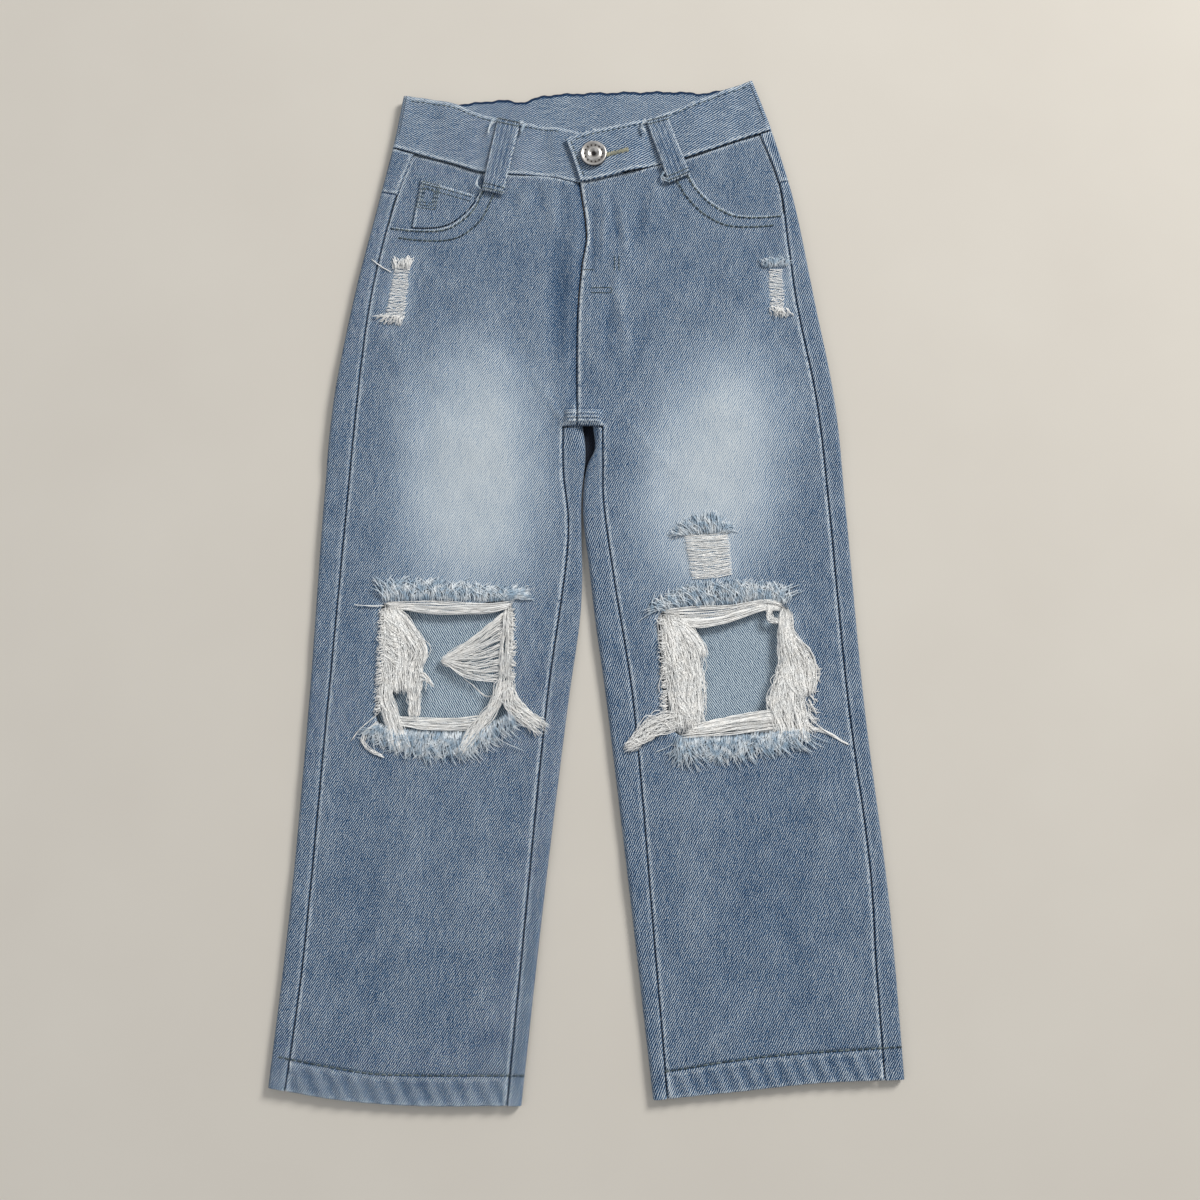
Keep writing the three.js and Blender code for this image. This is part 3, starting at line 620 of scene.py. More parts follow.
def front_wear_and_shade(half, x, y, sewn, crotch_edge, turned, rope):
    """The front's masks: where creases, seams, the crotch lip and the hem are rubbed pale, with painted
    highlight in part on the crests, and where they are darkened with painted shade.
    """
    masks = panel_masks(0, sewn)
    over_fly = ramp(y, *FLY_RUN)
    # Painted shadow on the right front beside the fly edge, where the left front laps over it.
    fly_shadow = (half.side < 0) * bump(x - fly_edge(y), 5) * over_fly
    fly_ridge = (half.side > 0) * bump(x - fly_edge(y) - half.side * HALF_GAP, 6) * over_fly
    creased = folds_at(x, y) + 0.5 * crumple(x, y)
    lip_ridge = crotch_lip(x, y) * ramp(np.sin(LIP_RIDGES * y), 0.2, 0.9)
    # Painted shade along the crotch lip's upper edge.
    lip_shade_outline = bump(y - CROTCH_Y - LIP_WIDTH - 0.4, 1.3) * ramp(x, -15, -12) * (1 - ramp(x, 7, 10))
    # Pale: wear on seams, the fly edge and the hem, and in part painted highlight on the crests of creases
    # and of the lip.
    ridge = (
        masks["ridge"] * (1 - fly_shadow) * (1 + 1.2 * fly_ridge)
        + RUBBED_AND_LIT["crease"] * np.clip(creased, 0, 2) + RUBBED_AND_LIT["lip"] * lip_ridge
        + RUBBED_AND_LIT["hem"] * bump(y - half.hem(x), 2.6) + RUBBED_AND_LIT["hem row"] * bump(turned - 1.6, 1.6)
        + RUBBED_AND_LIT["rope"] * np.clip(rope, 0, 1)
    )
    # Painted shade: in the seams' grooves, creases' troughs, round the crotch lip, beside the fly edge, at
    # the hem's step and between its ropes.
    dark_dye_and_painted_shade = (
        masks["dark_dye_and_painted_shade"] * (1 - 0.6 * bump(crotch_edge, 3))
        + PAINTED_SHADE["crease"] * np.clip(-creased, 0, 2) + PAINTED_SHADE["lip"] * lip_shade_outline
        + PAINTED_SHADE["tuck"] * fly_shadow + PAINTED_SHADE["hem row"] * bump(turned + 0.7, 1.0)
        + PAINTED_SHADE["rope"] * np.clip(-rope, 0, 1)
    )
    return {"ridge": ridge, "dark_dye_and_painted_shade": dark_dye_and_painted_shade}


def front_panel(half):
    """One front, with its knee torn open."""
    x, y, level, share = front_grid(half)
    sewn, crotch_edge = front_seams(half, x, y, level)
    pucker = 0.22 * np.sin(1.05 * (x + y)) * bump(sewn - 2.2, 3.4)
    turned = half.stitched(x) - y
    rope = np.sin(0.62 * x + 0.3 * y) * ramp(turned, 0, 3)
    roping = 0.4 * rope - 0.6 * (half.side < 0) * bump(x - HEM_JOIN, 1.6) * ramp(turned, 0, 2)
    hem_step = 0.45 * ramp(turned, -0.8, 0.4) - 0.5 * bump(turned + 0.8, 1.2)
    under_fly = (half.side < 0) * 0.9 * bump(x - fly_edge(y), 7) * ramp(y, *FLY_RUN)
    z = top_at(x, y) - under_fly + hem_step + roping + pucker
    z = z - rolled_edge(sewn) - rolled_edge(y - half.hem(x), 0.9, 1.2)
    points = grid_points(x, y, z)
    quads = grid_quads(*x.shape)
    torn = closed_curve(TORN_KNEE[half.name], 8)
    to_hole, hole_edge = outline_distance(points[:, :2], torn)
    snapped = np.abs(to_hole) < SNAP
    points[snapped, :2] = hole_edge[snapped]
    through_hole = to_hole[quads].mean(1) <= 0
    below_fly = (share.ravel()[quads].max(1) > 1) & (level.ravel()[quads].min(1) < CROTCH_Y)
    quads = quads[~through_hole & ~below_fly]
    if half.side > 0:
        quads = quads[:, ::-1]
    masks = front_wear_and_shade(half, x, y, sewn, crotch_edge, turned, rope)
    masks["fade"] = fade_at(x, y).ravel() + 0.5 * (1 - ramp(to_hole, 0, 7))
    uv = grid_points(x + half.side * GRAIN_LEAN * y, y)
    cloth = [denim_face, denim_inside]
    piece = build_piece(f"front_panel_{half.name}", points, quads, cloth, uv, masks, SHELL)
    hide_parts(f"front_{half.name}")
    return piece


for half in HALVES:
    front_panel(half)


# ---------------------------------------------------------------- back leg panels
# Each back is cut from the same twill. It lies under its leg, rolls round both edges of it and comes up to
# the seams on the top face. At the crotch its inner edge uncurls and lies flat.
STRIP = np.array([0, 0.02, 0.045, 0.08, 0.13, 0.2, 0.3, 0.45, 0.7])
HALF_TURN = np.linspace(0, np.pi, 9)
UNCURL = (81, 93)  # the heights between which the inner edge opens out flat
OPENED_REACH = 4  # from the centre back to the start of the opened edge's turn
LEVEL_CROTCH = 60  # above this height the inner fold ignores the creases
SEAM_LETS_GO = (80.5, 82)
LIP_SINK = 1.6  # the edge dips this far under the crotch lip, over these heights
LIP_SINKS = (79.5, 81)
SEAM_TO_MIDDLE = 40  # shifts the cloth maps of the two halves apart
YOKE_LEVEL = 220
YOKE_BEND = 120  # rows bend to the yoke seam above this height
UNDER_COUNT = 80
BACK_RIDGE = 0.55  # the back's seam edges are less rubbed than the front's
LIP_ROWS = [78, 79.5, 80.5, 81.2, 82, 83, 85]


def yoke_seam(x):
    """The seam between back and yoke, deepest at the centre back."""
    return 208 + np.where(x < -4.5, -(x + 4.5) * 0.2, (x + 4.5) * 0.25)


def section_y(half, level, x):
    """Where a section's point at x lies along the garment: the hem and the yoke seam slant."""
    hem_rise = (half.hem(x) - FRONT_FOOT) * (1 - ramp(level, FRONT_FOOT, FRONT_FOOT + FOOT_BEND))
    yoke_rise = (yoke_seam(x) - HALF_GAP - YOKE_LEVEL) * ramp(level, YOKE_BEND, YOKE_LEVEL)
    return level + hem_rise + yoke_rise


def back_section(half, y):
    """x, z and distance to the nearest seam of the back's section at y, from the side seam round to the
    inseam. The columns of y are split between the strip on top, the outer fold, the underside, the inner
    fold and the strip up to the inseam."""
    side = half.side
    ends = np.cumsum([len(STRIP), len(HALF_TURN), UNDER_COUNT, len(HALF_TURN)])
    top_y, fold_y, under_y, curl_y, wrap_y = np.split(y, ends, axis=1)
    seam, fold = half.out_seam(top_y) + side * HALF_GAP, half.outer_fold(top_y)
    radius = (top_at(fold, top_y) - base_at(top_y)) / 2
    top_x = lerp(seam, fold - side * radius, STRIP)
    top_z = top_at(top_x, top_y) - rolled_edge(np.abs(top_x - seam))
    fold = half.outer_fold(fold_y)
    radius = (top_at(fold, fold_y) - base_at(fold_y)) / 2
    fold_x = fold - side * radius * (1 - np.sin(HALF_TURN))
    fold_z = base_at(fold_y) + radius * (1 + np.cos(HALF_TURN))
    opened = ramp(curl_y, *UNCURL)
    inner = half.inner_fold(curl_y)
    inner_top = np.where(curl_y > LEVEL_CROTCH, SEAT_TOP, top_at(inner, curl_y))
    radius = (inner_top - base_at(curl_y)) / 2
    roll_x = lerp(inner + side * radius, back_centre(curl_y) + side * OPENED_REACH, opened)
    angle = HALF_TURN * (1 - opened)
    curl_x = roll_x - side * radius * np.sin(angle)
    curl_z = base_at(curl_y) + radius * (1 - np.cos(angle))
    share = np.linspace(0, 1, UNDER_COUNT + 2)[1:-1]
    under_x = lerp(fold_x[:, -1:], curl_x[:, :1], share)
    under_z = base_at(under_y)
    share = 1 - STRIP[::-1]
    seam = half.in_seam(wrap_y) - side * HALF_GAP
    loose = ramp(wrap_y, *SEAM_LETS_GO)
    wrap_x = lerp(curl_x[:, -1:], seam, share)
    free_x = curl_x[:, -1:] + side * share
    wrap_z = top_at(wrap_x, wrap_y) - rolled_edge(np.abs(seam - wrap_x))
    wrap_z = wrap_z - LIP_SINK * ramp(wrap_y, *LIP_SINKS)
    free_z = curl_z[:, -1:] + 0 * share
    wrap_x, wrap_z = lerp(wrap_x, free_x, loose), lerp(wrap_z, free_z, loose)
    x = np.concatenate([top_x, fold_x, under_x, curl_x, wrap_x], axis=1)
    z = np.concatenate([top_z, fold_z, under_z, curl_z, wrap_z], axis=1)
    seam_distance = np.full_like(z, FAR)
    seam_distance[:, : len(STRIP)] = np.abs(top_x - top_x[:, :1])
    seam_distance[:, -len(STRIP):] = np.abs(wrap_x - wrap_x[:, -1:])
    return x, z, seam_distance


def along_section(x, z, side):
    """Length round a section from its first point, running the same way across both halves."""
    steps = np.hypot(np.diff(x, axis=1), np.diff(z, axis=1))
    return side * np.concatenate([np.zeros((len(x), 1)), np.cumsum(steps, axis=1)], axis=1)


def back_panel(half):
    """One back, wrapped round its leg from side seam to inseam."""
    level = FRONT_FOOT + spaced(YOKE_LEVEL - FRONT_FOOT, CLOTH_STEP)
    level = np.sort(np.concatenate([level, LIP_ROWS]))
    columns = 2 * len(STRIP) + 2 * len(HALF_TURN) + UNDER_COUNT
    y = np.repeat(level[:, None], columns, axis=1)
    for _ in range(SETTLED):
        x, z, seam_distance = back_section(half, y)
        y = section_y(half, level[:, None], x)
    yoke_edge = np.abs(yoke_seam(x) - HALF_GAP - y)
    seam_distance = np.minimum(seam_distance, yoke_edge)
    uv = grid_points(along_section(x, z, half.side) + SEAM_TO_MIDDLE * half.side, y)
    points = grid_points(x, y, z)
    quads = grid_quads(*x.shape)
    if half.side < 0:
        quads = quads[:, ::-1]
    masks = panel_masks(0.25 * bump(y + 306, 9), seam_distance)
    masks["ridge"] = masks["ridge"] * BACK_RIDGE
    cloth = [denim_face, denim_inside]
    piece = build_piece(f"back_panel_{half.name}", points, quads, cloth, uv, masks, SHELL)
    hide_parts(f"back_{half.name}")
    return piece


for half in HALVES:
    back_panel(half)

# ---------------------------------------------------------------- yokes and waistband
# The yokes join the backs to the waistband. The band is one folded strip round the waist: its left end
# laps over its right end, and its back shows its inside above the front.
band_top_front = line([(-116.4, 298), (-84, 292.2), (-68, 285.6), (-43, 280), (-14, 275.6), (0, 272.5),
                       (36, 281.3), (50, 286.8), (74, 297), (104, 308.6)])
band_top_back = line([(-116.4, 298), (-82, 294.2), (-56, 296.7), (-41, 295.6), (-26, 300.2), (50, 302.6),
                      (76, 301.8), (104, 308.9)])
overlap_top = line([(-14.4, 267.3), (0, 272.5), (36, 281.3), (50, 286.8), (74, 297), (104, 308.6)])
BAND = 2.2
BAND_WALL = 2.0
BAND_WEAR = 0.2
BAND_TOP = 6.6
OVERLAP_RAISE = 2.5
UNDERLAP_END = 22
BUTTON = (3.5, 256)
SLIT = ((9.5, 255.6), (25, 259.6))
HIP_Y = 262  # a height on the hip, from which each row's own is worked out
HIP_COLUMNS = 12
HIP_EDGE = 1.4
HIP_PAINTED_SEAM_SHADE = 0.15  # round the hips the seams get only faint painted shade


def band_top_at(x, y):
    """Top of the band's right end, with shallow ripples where it is drawn in."""
    calm = bump(np.hypot(x - BUTTON[0], y - BUTTON[1]), 26)
    return BAND_TOP + (1.7 - 1.1 * calm) * crumple(1.5 * x, 0.5 * y)


def overlap_top_at(x, y):
    """The left end lifts over the right end."""
    return band_top_at(x, y) + OVERLAP_RAISE * (1 - ramp(x, 24, 46))


def hip_piece(name, half, low, high, seam_x, end_x, top, rows, strip, edge_depth, wall, cad,
              twist=False, worn=0.0):
    """A piece that rolls round the hip. Its rows run between the lines low(x, face) and high(x, face), where
    face goes from 0 on top to 1 underneath, and its columns from seam_x(y, share) to end_x(y, share)."""
    side = half.side
    share = rows[:, None]
    fold_y = np.full_like(share, float(HIP_Y))
    for _ in range(SETTLED):
        x = half.outer_fold(fold_y)
        fold_y = lerp(low(x, 0.5), high(x, 0.5), share)
    fold_x = half.outer_fold(fold_y)
    base = base_at(fold_y)
    radius = (top(fold_x, fold_y) - base) / 2
    turn_x = fold_x - side * radius
    under = np.linspace(0, 1, HIP_COLUMNS)[1:]
    x = np.concatenate([
        lerp(seam_x(fold_y, share), turn_x, strip),
        turn_x + side * radius * np.sin(HALF_TURN),
        lerp(turn_x, end_x(fold_y, share), under),
    ], axis=1)
    face = np.concatenate([strip * 0, HALF_TURN / np.pi, under * 0 + 1])
    y = lerp(low(x, face), high(x, face), share)
    count = len(strip)
    z = np.concatenate([
        top(x[:, :count], y[:, :count]),
        base + radius * (1 + np.cos(HALF_TURN)),
        np.repeat(base, len(under), axis=1),
    ], axis=1)
    end_distance = np.where(np.arange(x.shape[1]) < count, np.abs(x - x[:, :1]), FAR)
    low_distance, high_distance = y - low(x, face), high(x, face) - y
    sewn = np.minimum.reduce([end_distance, low_distance, high_distance])
    out = 1 - 2 * face
    z = z - out * rolled_edge(sewn, edge_depth, HIP_EDGE)
    across = along_section(x, z, side)
    uv = grid_points(y, across) if twist else grid_points(across + SEAM_TO_MIDDLE * side, y)
    points = grid_points(x, y, z)
    quads = grid_quads(*x.shape)
    if side < 0:
        quads = quads[:, ::-1]
    masks = panel_masks(0 * x + worn, sewn)
    masks["dark_dye_and_painted_shade"] = masks["dark_dye_and_painted_shade"] * HIP_PAINTED_SEAM_SHADE
    piece = build_piece(name, points, quads, [denim_face, denim_inside], uv, masks, wall)
    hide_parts(cad)
    return piece


def waist_at(x, face):
    """The waist seam, from front (face 0) round to back (face 1)."""
    return lerp(waist_front(x), waist_back(x), face)


def yoke_piece(half):
    """One yoke, from its side seam round the hip to the centre back."""
    return hip_piece(
        f"yoke_panel_{half.name}", half,
        low=lambda x, face: yoke_seam(x) + HALF_GAP,
        high=lambda x, face: waist_at(x, face) - HALF_GAP,
        seam_x=lambda y, share: half.out_seam(y) + half.side * HALF_GAP,
        end_x=lambda y, share: back_centre(lerp(208, 266, share)) + half.side * HALF_GAP,
        top=top_at, rows=spaced(54, CLOTH_STEP) / 54, strip=STRIP, edge_depth=0.9, wall=SHELL,
        cad=f"yoke_{half.name}",
    )


for half in HALVES:
    yoke_piece(half)

BAND_TURN = 12
BAND_STRIP = spaced(125, CLOTH_STEP) / 125
BAND_ROWS = spaced(36, 1.6) / 36


def band_end(half):
    """x of the band's turned-in end underneath."""
    return lambda y, share: half.outer_fold(y) - half.side * BAND_TURN


def band_line(top_line):
    """The band's upper edge, from this line in front to the back's own."""
    return lambda x, face: lerp(top_line(x), band_top_back(x), face)


right_band = hip_piece(
    "band_right", RIGHT,
    low=lambda x, face: waist_at(x, face) + HALF_GAP, high=band_line(band_top_front),
    seam_x=lambda y, share: UNDERLAP_END + 0 * share, end_x=band_end(RIGHT), top=band_top_at,
    rows=BAND_ROWS, strip=BAND_STRIP, edge_depth=0.5, wall=BAND_WALL, cad="waistband_front_right",
    twist=True, worn=BAND_WEAR,
)
left_band = hip_piece(
    "band_left", LEFT,
    low=lambda x, face: waist_at(x, face) + HALF_GAP, high=band_line(overlap_top),
    seam_x=lambda y, share: lerp(-4.9, -14.4, share), end_x=band_end(LEFT), top=overlap_top_at,
    rows=BAND_ROWS, strip=BAND_STRIP, edge_depth=0.5, wall=BAND_WALL, cad="waistband_front_left",
    twist=True, worn=BAND_WEAR,
)


def ruled_grid(outer, inner, low, high, rows, columns):
    """x and y of a grid whose columns run between two lines over y, and its rows between two over x."""
    rows, columns = np.meshgrid(rows, columns, indexing="ij")
    y = lerp(low(0 * rows), high(0 * rows), rows)
    for _ in range(SETTLED):
        x = lerp(outer(y), inner(y), columns)
        y = lerp(low(x), high(x), rows)
    return x, y


def flat_piece(name, x, y, z, sewn, cad, wall=SHELL, fade=0.0, twist=False, faces=None):
    """A layer of cloth over a grid, its columns running towards +X or -X. faces replaces some masks."""
    quads = grid_quads(*x.shape)
    if x[0, -1] < x[0, 0]:
        quads = quads[:, ::-1]
    uv = grid_points(y, x) if twist else grid_points(x, y)
    masks = panel_masks(fade + 0 * x, sewn)
    masks.update(faces or {})
    points = grid_points(x, y, z)
    piece = build_piece(name, points, quads, [denim_face, denim_inside], uv, masks, wall)
    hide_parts(cad)
    return piece


BINDING = 2.2
BINDING_DARK = 2.4


def edge_wave(x):
    """The bound edge stretches in sewing, and waves a little."""
    return 0.45 * np.sin(0.33 * x) + 0.3 * np.sin(0.87 * x + 1)


def back_band():
    """The band's back, inside up above the front: its top edge is bound in dark navy overlock."""
    right_x = float(RIGHT.outer_fold(280)) + BAND_TURN + SEAM_GAP
    left_x = float(LEFT.outer_fold(285)) - BAND_TURN - SEAM_GAP
    x, y = ruled_grid(
        lambda y: right_x + 0 * y, lambda y: left_x + 0 * y,
        lambda x: waist_back(x) + HALF_GAP, lambda x: band_top_back(x) + edge_wave(x),
        spaced(36, 1.4) / 36, spaced(200, CLOTH_STEP) / 200,
    )
    edge = band_top_back(x) + edge_wave(x) - y
    z = SEAT_BASE + BAND + 0.5 * crumple(x, y) - rolled_edge(edge, 0.8, 1.4)
    masks = {"dark_dye_and_painted_shade": BINDING_DARK * ramp(BINDING - edge, 0, 0.7), "ridge": 0 * x}
    return flat_piece("band_back", x, y, z, FAR + 0 * x, "waistband_back", BAND_WALL, BAND_WEAR, True, masks)


back_band()

# ---------------------------------------------------------------- front pockets
# A facing of denim shows inside each curved opening. The small coin pocket is stitched to the wearer's
# right facing, with a dense square of stitching at its outer corner.
FACING_MARGIN = 12


def facing(half):
    """The denim inside one pocket opening, running on under the front by its margin."""
    x, y = ruled_grid(
        lambda y: half.out_seam(y) - half.side * HALF_GAP,
        lambda y: half.opening_points[0, 0] - half.side * FACING_MARGIN + 0 * y,
        lambda x: half.opening(x + half.side * FACING_MARGIN) - FACING_MARGIN,
        lambda x: waist_front(x) - HALF_GAP,
        spaced(50, CLOTH_STEP) / 50, spaced(60, CLOTH_STEP) / 60,
    )
    edge = np.minimum(np.abs(x - half.out_seam(y)), waist_front(x) - y)
    z = top_at(x, y) - DENIM - SEAM_GAP
    z = z - rolled_edge(edge, 0.6) + 0.35 * crumple(1.7 * x, 1.7 * y)
    return flat_piece(f"facing_{half.name}", x, y, z, edge, f"pocket_facing_{half.name}")


for half in HALVES:
    facing(half)


COIN_CORNER = (-104.3, 241.3)
COIN_LOW = (-109.2, 209.6)
COIN_INNER = (-70.6, 231.6)
COIN_RAISE = 0.25


def coin_pocket():
    """The coin pocket: its outer and upper edges turned in, and the rest under the opening."""
    outer = line([COIN_LOW[::-1], COIN_CORNER[::-1]])
    high = line([COIN_CORNER, COIN_INNER])
    x, y = ruled_grid(
        outer, lambda y: COIN_INNER[0] + 0 * y, lambda x: RIGHT.opening(x) + 0.6, high,
        spaced(24, 1.6) / 24, spaced(36, 1.6) / 36,
    )
    edge = np.minimum(high(x) - y, x - outer(y))
    z = top_at(x, y) + COIN_RAISE - rolled_edge(edge)
    return flat_piece("coin_pocket_patch", x, y, z, edge, "coin_pocket")


coin_pocket()

# ---------------------------------------------------------------- crotch seam allowance
# Where the four leg seams meet, their turned-in edges bridge the gap between the legs, deep in shadow. Their
# near-black colour is painted shadow.
ALLOWANCE_WALL = 0.8
x, y = np.meshgrid(np.linspace(-9, 12, 22), np.linspace(52, 92, 21))
sunk = 2.6 - 0.9 * bump(x - 1.5, 6) - 1.2 * ramp(-y, -66, -52)
# Near-black twill for the allowance: painted shadow of the gap between the legs.
crotch_shadow_denim = denim("denim_painted_shadow", srgb(7, 10, 18), srgb(22, 30, 46), srgb(60, 72, 90), 0.0)
allowance = build_piece(
    "crotch_allowance", grid_points(x, y, sunk), grid_quads(*x.shape), [crotch_shadow_denim, crotch_shadow_denim],
    grid_points(x, y), {"dark_dye_and_painted_shade": np.full(x.size, 0.4)}, ALLOWANCE_WALL,
)

# ---------------------------------------------------------------- hidden pieces and the seat
# Under the front closure lie the fly's underlap and the zip. The seat carries two patch pockets and three
# belt loops, all plain.


def four_cornered(corners, rows, columns):
    """x and y of a grid over four corners: low left, low right, high right, high left."""
    a, b, c, d = np.array(corners, float)
    v, u = np.meshgrid(rows, columns, indexing="ij")
    low = a[:, None, None] * (1 - u) + b[:, None, None] * u
    high = d[:, None, None] * (1 - u) + c[:, None, None] * u
    return low * (1 - v) + high * v


SEAT_INSIDE = SEAT_BASE + DENIM + SEAM_GAP
x, y = four_cornered([(-8, 98), (20, 104), (24, 236), (-8, 236)], spaced(130, 6) / 130, spaced(30, 3) / 30)
underlap = flat_piece("fly_underlap_cloth", x, y, SEAT_INSIDE + DENIM + 0 * x, FAR + 0 * x, "fly_underlap")

BACK_POCKET = {"middle": 73, "width": 88, "taper": 3, "top": 196, "depth": 74, "point": 12}


def back_pocket(half):
    """A five-sided patch pocket, pointed at the bottom."""
    middle = half.side * BACK_POCKET["middle"]
    half_width, depth, top = BACK_POCKET["width"] / 2, BACK_POCKET["depth"], BACK_POCKET["top"]
    x, y = ruled_grid(
        lambda y: middle - half_width + BACK_POCKET["taper"] * (top - y) / depth,
        lambda y: middle + half_width - BACK_POCKET["taper"] * (top - y) / depth,
        lambda x: top - depth - BACK_POCKET["point"] * (1 - np.abs(x - middle) / half_width),
        lambda x: top + 0 * x,
        spaced(80, 3) / 80, spaced(88, 3) / 88,
    )
    edge = np.minimum.reduce([top - y, np.abs(x - x[:, :1]), np.abs(x - x[:, -1:])])
    return flat_piece(f"back_pocket_patch_{half.name}", x, y, DENIM + 0 * x, edge, f"back_pocket_{half.name}")


for half in HALVES:
    back_pocket(half)
LOOP_HALF = 6
LOOP_FOOT = 254
LOOP_HEAD = 294
for name, middle in (("right", -72), ("centre", -6), ("left", 60)):
    first, last = middle - LOOP_HALF, middle + LOOP_HALF
    corners = [(first, LOOP_FOOT), (last, LOOP_FOOT), (last, LOOP_HEAD), (first, LOOP_HEAD)]
    x, y = four_cornered(corners, spaced(40, 3) / 40, spaced(12, 2, (0, 0.6, 1.4)) / 12)
    edge = np.abs(LOOP_HALF - np.abs(x - middle))
    loop = flat_piece(f"loop_back_{name}", x, y, DENIM + 0 * x, edge, f"belt_loop_back_{name}")

# ---------------------------------------------------------------- front belt loops
# A folded strip of twill, sewn along its length in close rows and tacked over the band at both ends.
FRONT_LOOPS = {
    "right": [(-66.2, 233.2), (-52.6, 229.6), (-42.3, 279), (-56.6, 282.1)],
    "left": [(50.2, 237.8), (63.7, 244), (49.8, 283.7), (36.3, 279.5)],
}
LOOP_RIBS = 5
LOOP_WIDTH = 14
LOOP_LENGTH = 50
LOOP_THICK = 1.5
for half in HALVES:
    share_rows, share_columns = spaced(LOOP_LENGTH, 1.5) / LOOP_LENGTH, np.linspace(0, 1, 31)
    x, y = four_cornered(FRONT_LOOPS[half.name], share_rows, share_columns)
    across = np.broadcast_to(share_columns, x.shape) * LOOP_WIDTH
    along = np.broadcast_to(share_rows[:, None], x.shape) * LOOP_LENGTH
    edge = np.minimum.reduce([across, LOOP_WIDTH - across, along, LOOP_LENGTH - along])
    rib = 0.5 + 0.5 * np.cos(2 * np.pi * LOOP_RIBS * across / LOOP_WIDTH)
    over = band_top_at if half.side < 0 else overlap_top_at
    z = over(x, y) + SEAM_GAP + LOOP_THICK + 0.25 * rib - rolled_edge(edge, 1.0)
    z = z + 0.5 * np.sin(np.pi * along / LOOP_LENGTH)
    # Pale worn edges, and pale rib crests that are partly painted highlight. The next line paints shade into
    # the rib troughs.
    pale = 0.9 * ramp(edge, 0.1, 0.5) * (1 - ramp(edge, 0.9, 2.2)) + 0.35 * rib
    masks = {"ridge": pale, "dark_dye_and_painted_shade": (1 - rib) * 0.35 * ramp(edge, 1, 2)}
    loop = flat_piece(f"loop_front_{half.name}", x, y, z, edge, f"belt_loop_front_{half.name}", 1.2,
                      faces=masks)

# ---------------------------------------------------------------- button
# A stamped steel cap with a rolled rim, a sunk ring set with plain studs, and a raised eye.
CAP_BASE = 9.5
BUTTON_PROFILE = np.array([  # (radius, height over the cap's base), from the middle out and under
    (0, 1.2), (1.2, 1.25), (2.2, 1.5), (2.7, 2.0), (3.2, 2.35), (3.9, 2.35), (4.4, 1.9), (4.9, 1.65),
    (6.2, 1.7), (6.7, 2.0), (7.1, 2.4), (7.6, 2.5), (8.05, 2.2), (8.3, 1.6), (8.3, 0.9), (7.9, 0.3),
    (7.0, 0.0), (2.6, 0.0), (2.6, -2.6),
])
STUD_RING = 5.6  # radius of the sunk ring that the studs sit in
STUDS = 14
STUD_RADIUS = 0.62
STUD_HEIGHT = 0.5


def metal(name, colour, roughness):
    """Tumbled steel, mottled, and darker where painted shade is asked for: in the hollows of the button's
    pressing, under its rim and between the zip's teeth.
    """
    material, wire = start_material(name)
    place = wire.node("TexCoord", out="Object")
    cloud = wire.node("TexNoise", None, {"Vector": place, "Scale": 900.0, "Detail": 2.0})
    sunk = wire.node("Attribute", {"attribute_name": "dark_dye_and_painted_shade"}, out="Fac")
    tone = (cloud * 0.5 + sunk).ramp(0.15, 1.25)
    shade = tone.mix(colour, srgb(48, 44, 44))
    finish_material(wire, wire.node("BsdfPrincipled", None, {
        "Base Color": shade, "Metallic": 0.75, "Roughness": roughness}))
    return material


button_metal = metal("button_metal", srgb(205, 202, 198), 0.36)
stud_metal = metal("stud_metal", srgb(70, 64, 62), 0.45)


def lathe_button():
    """The cap: its profile turned about the shank, with painted shade in the ring, the eye and under the rim.
    """
    turn = np.linspace(0, 2 * np.pi, 65)
    radius, height = BUTTON_PROFILE.T
    x = BUTTON[0] + radius[:, None] * np.cos(turn)
    y = BUTTON[1] + radius[:, None] * np.sin(turn)
    z = CAP_BASE + height[:, None] + 0 * turn
    points = grid_points(x, y, z)
    # Painted shade: in the sunk ring, in the eye and under the rim.
    sunk = 0.7 * bump(radius - STUD_RING, 1.4) + 1.4 * bump(radius, 3.0) + 0.9 * ramp(radius, 8.0, 8.3)
    masks = {"dark_dye_and_painted_shade": np.repeat(sunk, len(turn))}
    piece = build_piece("button_cap", points, grid_quads(*x.shape), [button_metal], None, masks)
    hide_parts("button")
    return piece


lathe_button()
zip_metal = metal("zip_metal", srgb(176, 152, 104), 0.4)
ZIP_TOP = 4.9
ZIP_WALL = 0.7
zip_corners = [(-6, 122), (10, 122), (10, 234), (-6, 234)]
x, y = four_cornered(zip_corners, np.linspace(0, 1, 225), spaced(16, 1) / 16)
teeth = 0.5 * (np.sin(np.pi * y) > 0) * bump(x - 2, 2.4)
# Painted shade on the chain between the teeth.
zip_chain = build_piece("zip_chain", grid_points(x, y, ZIP_TOP + teeth), grid_quads(*x.shape),
                        [zip_metal, zip_metal], None, {"dark_dye_and_painted_shade": 0.6 - teeth}, ZIP_WALL)
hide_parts("zip")


def round_studs(name, centres, radius, height, material):
    """Low round studs: a ring of eight points round each raised middle."""
    turn = np.linspace(0, 2 * np.pi, 9)
    share = np.array([1, 0.7, 0.02])
    x = centres[:, None, None, 0] + radius * share[:, None] * np.cos(turn)
    y = centres[:, None, None, 1] + radius * share[:, None] * np.sin(turn)
    z = centres[:, None, None, 2] + height * np.array([0, 0.75, 1])[:, None] + 0 * turn
    points = np.stack([x, y, z], axis=-1).reshape(-1, 3)
    quads = grid_quads(3, 9)
    quads = (quads[None] + 27 * np.arange(len(centres))[:, None, None]).reshape(-1, 4)
    masks = {"dark_dye_and_painted_shade": np.zeros(len(points))}
    piece = build_piece(name, points, quads, [material], None, masks)
    return piece


